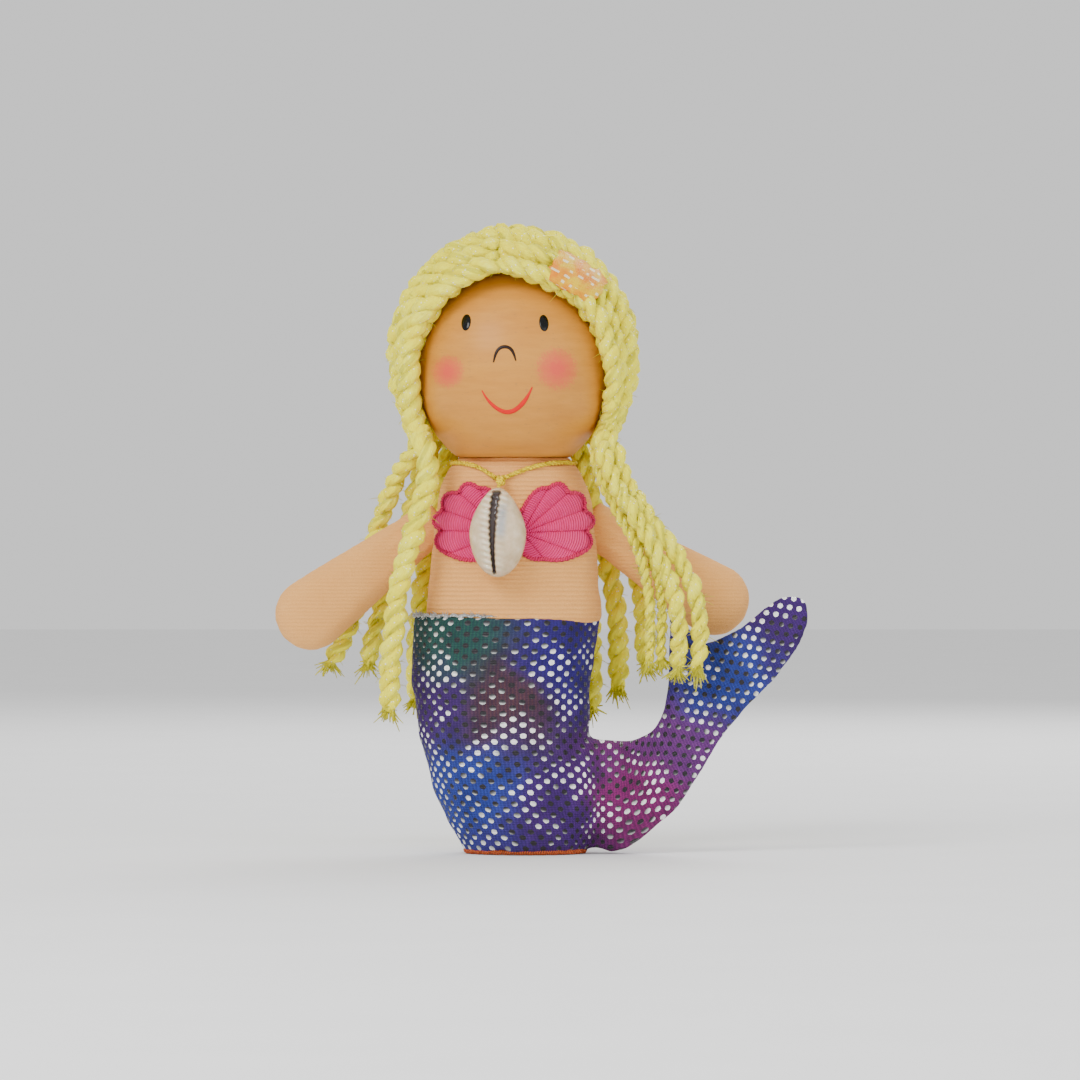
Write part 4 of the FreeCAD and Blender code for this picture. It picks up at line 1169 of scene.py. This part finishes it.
# ---- Tail ----------------------------------------------------------------------------
TAIL_SECTIONS = [(1.0, -10.6, 15.4, 10.0), (6.5, -14.0, 16.0, 10.8), (13.0, -17.2, 16.0, 11.4),
                 (24.0, -20.3, 15.8, 11.6), (36.0, -21.8, 16.3, 11.4), (50.0, -21.4, 18.5, 11.0)]
STALK_TO_OUTER_TIP = [(20.0, 0.5), (22.0, 0.7), (27.0, 2.5), (35.0, 9.2), (40.3, 17.4),
                      (44.0, 23.7), (49.2, 30.0), (55.6, 36.3), (61.0, 43.7), (63.0, 49.0),
                      (62.4, 52.6)]
LOBES = [(34.0, 51.8), (36.2, 49.0), (38.2, 45.6), (39.8, 44.4), (43.4, 45.6), (48.0, 47.9),
         (53.4, 52.0), (56.6, 54.0), (59.4, 54.4), (61.4, 53.9), (62.4, 52.6)]
STALK_TO_INNER_TIP = [(20.0, 23.6), (22.0, 23.3), (25.8, 23.6), (29.9, 25.9), (31.8, 30.0),
                      (32.5, 36.3), (32.5, 44.0), (32.5, 50.4), (34.0, 51.8)]
SWISH = math.radians(11.0)
TAIL_HINGE_X = 18.5


def swished(x, y, z):
    """The place once the tail past its bend is turned towards the viewer."""
    dx = x - TAIL_HINGE_X
    return (TAIL_HINGE_X + dx * math.cos(SWISH) + y * math.sin(SWISH),
            -dx * math.sin(SWISH) + y * math.cos(SWISH), z)


def edge_points(path, count):
    """Evenly spaced points along a listed edge."""
    line = even([Vector((x, 0, z)) for x, z in path], 0.3)
    return [line[round(k * (len(line) - 1) / count)] for k in range(count + 1)]


def fluke():
    """A two-lobed pillow between its four edges."""
    rows, columns = 54, 40
    inner, outer = edge_points(STALK_TO_INNER_TIP, rows), edge_points(STALK_TO_OUTER_TIP, rows)
    lobes = edge_points(LOBES, columns)
    start = [inner[0].lerp(outer[0], j / columns) for j in range(columns + 1)]
    sheets = ([], [])
    for i in range(rows + 1):
        u = i / rows
        for j in range(columns + 1):
            v = j / columns
            p = (inner[i] * (1 - v) + outer[i] * v + start[j] * (1 - u) + lobes[j] * u
                 - start[0] * (1 - u) * (1 - v) - start[-1] * (1 - u) * v
                 - lobes[0] * u * (1 - v) - lobes[-1] * u * v)
            crown = (1 - abs(2 * v - 1) ** 3.2) ** 0.5
            crown *= (1 - max(0.0, u - 0.55) ** 2 / 0.45 ** 2) ** 0.5
            deep = mix(8.0, 2.9, smoothstep(p.x, 21.0, 31.5))
            half = max(0.85, deep * crown)
            for sheet, sign in zip(sheets, (-1, 1)):
                sheet.append(swished(p.x, sign * half, p.z))
    count = len(sheets[0])
    faces = grid_faces(rows + 1, columns + 1)
    faces += [tuple(count + i for i in reversed(face)) for face in faces]
    ring = ([i * (columns + 1) for i in range(rows + 1)]
            + [rows * (columns + 1) + j for j in range(1, columns + 1)]
            + [i * (columns + 1) + columns for i in range(rows - 1, -1, -1)]
            + [j for j in range(columns - 1, 0, -1)])
    for a, b in zip(ring, ring[1:] + ring[:1]):
        faces.append((a, b, b + count, a + count))
    return sheets[0] + sheets[1], faces


TEAL = (0.024, 0.108, 0.080)
VIOLET = (0.040, 0.022, 0.25)
PLUM = (0.078, 0.023, 0.20)
WINE = (0.115, 0.048, 0.060)
INDIGO = (0.038, 0.070, 0.42)
MAGENTA = (0.30, 0.020, 0.175)
ORCHID = (0.21, 0.045, 0.26)
DYES = [  # the middle (x, z) of each area of the tie-dye, and its dye
    ((-12.0, 45.0), TEAL), ((10.0, 41.0), VIOLET), ((-19.0, 32.0), PLUM), ((-3.0, 32.0), WINE),
    ((-9.0, 14.0), INDIGO), ((8.0, 11.0), PLUM), ((27.0, 12.0), MAGENTA), ((35.0, 22.0), ORCHID),
    ((43.0, 37.0), INDIGO), ((58.0, 50.0), PLUM),
]


def spread(table, x, z, softness):
    """Blends a table's values by how near each of its places is."""
    total, value = 0.0, Vector((0.0, 0.0, 0.0))
    for (at_x, at_z), given in table:
        weight = 1 / (softness + (x - at_x) ** 2 + (z - at_z) ** 2) ** 2
        total += weight
        value += Vector(given) * weight
    return value / total


def dye_at(x, y, z):
    """The tie-dye's colour at a place on the tail; the back is dyed a little differently."""
    shift = 5.0 if y > 0 else 0.0
    sx = x + 3.2 * wobble(x, y, z, 8.0, 4) + 1.4 * wobble(x, y, z, 3.2, 8) + shift
    sz = z + 3.2 * wobble(x, y, z, 8.0, 14) + 1.4 * wobble(x, y, z, 3.2, 18) - shift * 0.6
    shade = 1 + 0.30 * wobble(x, y, z, 2.2, 31) + 0.22 * wobble(x, y, z, 6.0, 37)
    return tuple(spread(DYES, sx, sz, 4.0) * shade * 0.68) + (1.0,)


def cloth_at(x, y, z):
    """Where a place on the tail is in its cloth, in mm: across and along."""
    left, right, depth = section_at(TAIL_SECTIONS, z)
    middle, half = (left + right) / 2, (right - left) / 2
    around = math.atan2((x - middle) / half, max(abs(y), 0.01) / depth)
    on_sack = around * (half + depth) / 2
    flat = (x - TAIL_HINGE_X) + 21.0
    share = smoothstep(x, 12.0, 19.0)
    u, v = mix(on_sack, flat, share), z
    turn = math.radians(27.0) * smoothstep(x, 19.0, 33.0)
    du, dv = u - 21.0, v - 12.0
    return (du * math.cos(turn) + dv * math.sin(turn) + (40.0 if y > 0 else 0.0),
            dv * math.cos(turn) - du * math.sin(turn), 0.0)


def tail():
    """Sack, bend and fluke in one skin, with the pocket's bore left open."""
    made = []
    loops = [oval(-8.9, 8.9, 8.9, 0.4), oval(-9.6, 13.6, 9.0, 0.3), oval(-10.2, 15.0, 9.6, 0.7)]
    for k in range(26):
        z = mix(1.4, 49.2, k / 25)
        loops.append(oval(*section_at(TAIL_SECTIONS, z), z, shrink=-0.15))
    loops += [oval(*section_at(TAIL_SECTIONS, 49.9), 49.9, shrink=-0.25),
              oval(-21.2, 18.5, 10.9, 50.4), oval(-19.6, 17.6, 10.0, 50.1),
              oval(-18.4, 17.2, 9.4, 47.2), oval(-8.9, 8.9, 8.9, 45.6)]
    vertices = [p for loop in loops for p in loop]
    faces = grid_faces(len(loops), AROUND, wrap=True)
    last = (len(loops) - 1) * AROUND
    faces += [(last + j, last + (j + 1) % AROUND, (j + 1) % AROUND, j) for j in range(AROUND)]
    sack = piece("tail_skin", vertices, faces, FOIL)
    bend = []
    for k in range(13):
        x = mix(10.0, 24.0, k / 12)
        low, high = mix(1.6, 1.0, k / 12), mix(25.0, 23.4, k / 12)
        half_z, deep = (high - low) / 2, mix(9.0, 7.6, smoothstep(x, 12.0, 24.0))
        bend.append([swished(x, deep * math.copysign(abs(math.sin(TAU * j / 48)) ** 0.8,
                                                     math.sin(TAU * j / 48)),
                             (low + high) / 2 + half_z
                             * math.copysign(abs(math.cos(TAU * j / 48)) ** 0.7,
                                             math.cos(TAU * j / 48))) for j in range(48)])
    made.append(rings("bend", bend, FOIL))
    made.append(piece("fluke", *fluke(), FOIL))
    bpy.ops.object.select_all(action="DESELECT")
    for other in made:
        other.select_set(True)
    sack.select_set(True)
    bpy.context.view_layer.objects.active = sack
    bpy.ops.object.join()
    puff(sack, 0.7, 0.45)
    relax(sack, 5, 0.5)
    subdivided(sack)

    def settle(x, y, z):
        side_seam = math.exp(-(y / 0.7) ** 2) if x < -8 else 0.0
        lumps = 0.40 * wobble(x, y, z, 8.0, 5) + 0.20 * wobble(x, y, z, 3.4, 7)
        ease = smoothstep(z, 0.8, 4.0) * (1 - smoothstep(z, 47.5, 49.5))
        out = Vector((x * 0.5, y, 0))
        out = out.normalized() if out.length > 1e-6 else out
        push = (lumps * ease - 0.25 * side_seam) * (0.6 if x > 20 else 1.0)
        if x > 20:
            flat = -(x - TAIL_HINGE_X) * math.tan(SWISH)
            out = Vector((0, math.copysign(1.0, y - flat), 0))
        drop = 0.75 * (1 - smoothstep(z, 0.8, 4.0))
        return x + out.x * push, y + out.y * push, max(z - drop, 0.14)

    shape_vertices(sack, settle)
    keep_rest(sack)
    spots = [tuple(v.co / MM) for v in sack.data.vertices]
    store(sack, "dye", [dye_at(*spot) for spot in spots], "FLOAT_COLOR")
    store(sack, "cloth", [cloth_at(*spot) for spot in spots])
    sack.data.materials.clear()
    sack.data.materials.append(FOIL)
    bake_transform(sack)
    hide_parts("tail_front_panel", "tail_back_panel", "tail_stuffing", "tail_bend_stuffing",
                "fluke_front_panel", "fluke_back_panel", "fluke_stuffing")


tail()


def hem():
    """Overlock stitches: a close coil of thread round the lower edge."""
    bundle = Bundle()
    turns, steps = 78, 10
    left, right, depth = -9.9, 14.7, 9.3
    for strand, shift in enumerate((0.0, 0.5)):
        line = []
        for k in range(turns * steps + 1):
            share = k / (turns * steps)
            a = TAU * share
            roll = TAU * (k / steps + shift)
            out = 0.5 * math.cos(roll) * (1 + 0.15 * math.sin(a * 23))
            x = (left + right) / 2 + ((right - left) / 2 + out) * math.cos(a)
            y = (depth + out) * math.sin(a)
            line.append(Vector((x, y, 0.62 + 0.42 * math.sin(roll) + 0.05 * math.sin(a * 31))))
        bundle.tube(line, [0.2] * len(line), strand * 0.7, sides=6)
    made = bundle.make("hem_stitches", ORANGE)
    mount(made, "tail", "orange_thread", "hem_overlock")


def frayed(angle):
    """How far the waist's edge is frayed: most at the viewer's left, least at the front right."""
    at_left = smoothstep(-math.cos(angle), -0.1, 0.45)
    return mix(at_left, 1.0, smoothstep(math.sin(angle), 0.0, 0.5))


WAIST_X = -1.45  # the middle of the raw edge, in mm


def waist_fray():
    """Loose foil fibres along the raw edge at the waist."""
    rng = random.Random(77)
    bundle = Bundle()
    for _ in range(420):
        a = rng.uniform(0, TAU)
        thick_here = mix(0.25, 1.0, frayed(a))
        base = Vector((WAIST_X + 19.5 * math.cos(a), 10.55 * math.sin(a), 49.9))
        out = Vector((math.cos(a), math.sin(a), 0))
        heading = (out * rng.uniform(-0.4, 1.1) + Vector((0, 0, rng.uniform(-0.5, 1.0)))
                   + Vector((-math.sin(a), math.cos(a), 0)) * rng.gauss(0, 0.8)).normalized()
        reach = rng.uniform(0.5, 1.5) * thick_here
        curl = Vector((rng.gauss(0, 0.4), rng.gauss(0, 0.4), rng.gauss(0, 0.3)))
        path = bent(base, heading, curl, reach, (0, 0.35, 0.7, 1.0))
        thick = rng.uniform(0.05, 0.11)
        bundle.tube(path, [thick, thick, thick * 0.8, thick * 0.4], rng.random(), sides=4)
    line, radii = [], []
    for k in range(161):
        a = TAU * k / 160
        share = frayed(a)
        line.append(Vector((WAIST_X + 19.4 * math.cos(a), 10.5 * math.sin(a),
                            mix(49.6, 49.9, share) + 0.18 * math.sin(k * 1.7))))
        radii.append(mix(0.12, 0.32 + 0.09 * math.sin(k * 2.3), share))
    bundle.tube(line, radii, 0.4, sides=7)
    made = bundle.make("waist_fray", SILVER)
    mount(made, "tail", "silver_edge", "waist_raw_edge")


hem()
waist_fray()

# ---- Bra: scallop shells in satin stitch ---------------------------------------------
SCALLOPS = [((1.6, 71.5), (4.3, 75.6), (7.0, 76.4)), ((7.0, 76.4), (9.5, 77.4), (11.2, 75.5)),
            ((11.2, 75.5), (14.0, 74.9), (14.4, 72.0)), ((14.4, 72.0), (16.3, 69.8), (14.8, 67.7)),
            ((14.8, 67.7), (15.8, 64.9), (13.4, 62.8)), ((13.4, 62.8), (9.8, 61.6), (6.2, 61.8)),
            ((6.2, 61.8), (3.6, 61.9), (1.6, 63.4))]


SHELL_HINGE = Vector((1.7, 67.2))  # x, z of the viewer's right shell; the left mirrors it


def bowed(start, crown, end, t):
    """A point on the smooth arc that passes through the crown half way."""
    a, c, b = (Vector((p[0], p[1])) for p in (start, crown, end))
    control = c * 2 - (a + b) / 2
    return a * (1 - t) ** 2 + control * 2 * t * (1 - t) + b * t * t


def bra_shell(node, side):
    """Seven scallops of satin stitch that fan out from the shell's hinge."""
    vertices, faces, ply = [], [], []
    for lobe, (start, crown, end) in enumerate(SCALLOPS):
        base = len(vertices)
        rows, columns = 16, 18
        for i in range(rows + 1):
            r = i / rows
            for j in range(columns + 1):
                t = j / columns
                rim = bowed(start, crown, end, t)
                flat = SHELL_HINGE.lerp(rim, mix(0.03, 0.97, r))
                crowned = math.sin(math.pi * clamp(t, 0.001, 0.999)) ** 0.55
                ease = min(1.0, r * 4 + 0.2) * (1 - max(0.0, r - 0.9) * 3)
                proud = 0.40 + 0.42 * crowned * ease
                vertices.append(tuple(on_torso(side * flat.x, flat.y, proud)))
                ply.append((t * 2.0, (flat - SHELL_HINGE).length * 1.15 + lobe, lobe * 1.3))
        faces += [tuple(base + k for k in face) for face in grid_faces(rows + 1, columns + 1)]
    made = piece(node + "_stitches", vertices, faces, PINK)
    store(made, "ply", ply)
    store(made, "rest", vertices)
    thicken(made, 0.45)
    mount(made, "torso", "pink_embroidery", node)


def bra_edging(node, side):
    """Thick stitches along the scallops, and thin seams between them."""
    border = Bundle()
    for lobe, (start, crown, end) in enumerate(SCALLOPS):
        line = []
        for k in range(21):
            p = bowed(start, crown, end, k / 20)
            line.append(on_torso(side * p.x, p.y, 0.45))
        border.tube(line, [0.46 + 0.10 * math.sin(k * 2.1) for k in range(21)], lobe * 0.9)
        seam = [on_torso(side * mix(SHELL_HINGE.x, end[0], k / 14),
                         mix(SHELL_HINGE.y, end[1], k / 14), 0.30) for k in range(15)]
        border.tube(seam, [0.16 + 0.05 * math.sin(k * 2.4) for k in range(15)], lobe * 0.5,
                    sides=6)
    made = border.make(node + "_edging", PINK_EDGE)
    mount(made, "torso", "pink_embroidery")


for label, mirror in (("bra_shell_left", -1), ("bra_shell_right", 1)):
    bra_shell(label, mirror)
    bra_edging(label, mirror)


# ---- Necklace and cowrie -------------------------------------------------------------
def necklace():
    """The twisted thread round the neck."""
    low = [(-1.9, 78.6), (2.2, 80.5), (6.8, 81.7)]
    route = [on_torso(x, z, 0.75) for x, z in low]
    for k in range(9):
        a = math.radians(-35 + 31.25 * k)
        route.append(Vector((13.4 * math.cos(a), 10.45 * math.sin(a), 81.9)))
    route += [on_torso(-6.6, 81.0, 0.75), on_torso(-3.6, 78.6, 0.75)]
    bundle = Bundle()
    for centres, radii in ply_lines(even(spline_points(route), 0.25), 0.5, 1.7, 31,
                                    taper_end=False):
        bundle.tube(centres, radii, 0.3, sides=7)
    made = bundle.make("necklace_twist", YELLOW)
    mount(made, "torso", "yellow_thread", "necklace_thread")


KNOT = Vector((-2.7, -12.6, 77.9))  # its middle, in mm


def pendant_knot():
    """The knot that carries the pendant, its loose end and the loop it hangs by."""
    knot = Bundle()
    for turn in range(3):
        tilt = Matrix.Rotation(math.radians(60 * turn + 15), 3, "Y")
        angles = [TAU * k / 18 for k in range(19)]
        line = [KNOT + tilt @ Vector((0.62 * math.cos(a), 0.5 * math.sin(a) - 0.1,
                                      0.45 * math.sin(a + turn))) for a in angles]
        knot.tube(line, [0.42] * 19, turn * 0.5, sides=8)
    tail_end = [KNOT + Vector(step)
                for step in ((-0.2, -0.4, -0.3), (-0.5, -1.6, -1.5), (-0.8, -3.0, -2.7))]
    knot.tube(tail_end, [0.40, 0.36, 0.32], 1.9, sides=8)
    for lean in (-0.45, 0.45):  # the two sides of the loop that hangs the knot on the necklace
        bail = [KNOT + Vector((lean, y, z))
                for y, z in ((-0.1, 0.1), (0.7, 0.8), (1.4, 1.05), (1.85, 0.6))]
        knot.tube(bail, [0.36, 0.36, 0.34, 0.3], 0.7, sides=8)
    made = knot.make("pendant_tie", YELLOW)
    mount(made, "pendant_thread", "yellow_thread", "pendant_knot")


def slot_x(t):
    """The middle of the cowrie's opening; t runs from -1 at its foot to 1 at its top."""
    return -1.15 + 0.85 * (t ** 2) + 0.25 * t


def cowrie_face(dx, dy, dz, t, wide, deep):
    """How far a place on the front is sunk in mm, and how much groove, tooth and blue it is."""
    away = dx - slot_x(t)
    width = mix(0.42, 1.10, smoothstep(t, -0.95, 0.75))
    comb = 0.5 + 0.5 * math.cos(TAU * (dz + 0.3 * away) / 1.28)
    biting = 1 - 0.30 * comb * (1.0 if away < 0 or t > 0.2 else 0.4)
    opening = 1 - smoothstep(abs(away), width * 0.6 * biting, width * 1.15 * biting)
    opening *= 1 - smoothstep(abs(t), 0.86, 0.97)
    front = smoothstep(-dy, 0.0, deep * 0.35 + 0.01)
    # The groove sinks the opening in the mesh and marks where the shell material paints its shade.
    groove = opening * front
    side = 1.0 if away < 0 or t > 0.35 else 0.28
    lip = math.exp(-((abs(away) - width - 0.75) / 0.95) ** 2)
    tooth = lip * comb * side * front * (1 - smoothstep(abs(t), 0.82, 0.95))
    blue = (smoothstep(away, 0.5, 1.3) * (1 - smoothstep(away, 2.0, 3.4))
            * smoothstep(t, -0.25, 0.05) * (1 - smoothstep(t, 0.45, 0.75)) * front)
    flatten = 0.10 * front * (1 - (dx / max(wide, 0.01)) ** 2)
    sunk = deep * flatten + 1.35 * groove - 0.46 * tooth - 0.20 * lip * front
    return sunk, (groove, tooth, blue)


def cowrie():
    """A money cowrie, its toothed opening towards the viewer."""
    cx, cy, cz = -3.25, -15.6, 67.3
    half_x, half_y, half_z = 5.75, 3.9, 9.3
    rows, columns = 150, 180
    loops, tones = [], []
    for i in range(rows + 1):
        lift = mix(-89.0, 89.0, i / rows)
        t = math.sin(math.radians(lift))
        reach = math.cos(math.radians(lift))
        wide = half_x * reach * (1 - 0.26 * max(t, 0) ** 1.2 + 0.03 * (1 - t * t))
        deep = half_y * reach
        loop = []
        for j in range(columns):
            a = TAU * j / columns
            dx, dy, dz = wide * math.cos(a), deep * math.sin(a), half_z * t
            sunk, tone = cowrie_face(dx, dy, dz, t, wide, deep) if dy < 0 else (0.0, (0, 0, 0))
            loop.append((cx + dx, cy + (dy + sunk), cz + dz))
            tones.append(tone)
        loops.append(loop)
    made = rings("cowrie", loops, SHELL)
    tones += [(0, 0, 0)] * (len(made.data.vertices) - len(tones))
    store(made, "tone", tones)
    keep_rest(made)
    mount(made, "pendant", "shell", "cowrie_shell")


necklace()
pendant_knot()
cowrie()


# ---- Patch of organza in the hair ----------------------------------------------------
def patch():
    """A ragged scrap of organza whose edges sink into the yarn."""
    wide, high = 12.0, 7.6
    middle_x, middle_z, tilt = 13.3, 120.2, math.radians(-30)
    rows, columns = 24, 38
    vertices, cloth = [], []
    for i in range(rows + 1):
        for j in range(columns + 1):
            u, v = (j / columns - 0.5) * wide, (i / rows - 0.5) * high
            ragged = 0.22 * wobble(u * 3, v * 3, 0, 2.0, 3)
            edge = max(abs(u) / (wide / 2), abs(v) / (high / 2)) ** 6
            u += 0.7 * edge * wobble(v, u, 0, 1.1, 13)
            v += 0.7 * edge * wobble(u, v, 0, 1.1, 17)
            x = middle_x + (u + ragged) * math.cos(tilt) - v * math.sin(tilt)
            z = middle_z + (u + ragged) * math.sin(tilt) + v * math.cos(tilt)
            y = front_y(HAIR_CENTRE, HAIR_HALF, x, z) - 0.25
            y -= 0.22 * math.sin(u * 1.3 + 0.6) + 0.12 * wobble(u, v, 0, 1.8, 6)
            y += 1.5 * (abs(u) / (wide / 2)) ** 4 + 2.2 * (abs(v) / (high / 2)) ** 3
            vertices.append((x, y, z))
            cloth.append((u, v, 0.0))
    made = piece("organza_patch", vertices, grid_faces(rows + 1, columns + 1), ORGANZA)
    store(made, "cloth", cloth)
    thicken(made, 0.25)
    mount(made, "head", "patch_organza", "hair_patch")


patch()

# ---- The pocket keeps its CAD shape --------------------------------------------------
for label in ("finger_pocket_lining", "finger_pocket_upper", "finger_pocket_tip"):
    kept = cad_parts[label]
    kept.data.materials.clear()
    kept.data.materials.append(LINING)
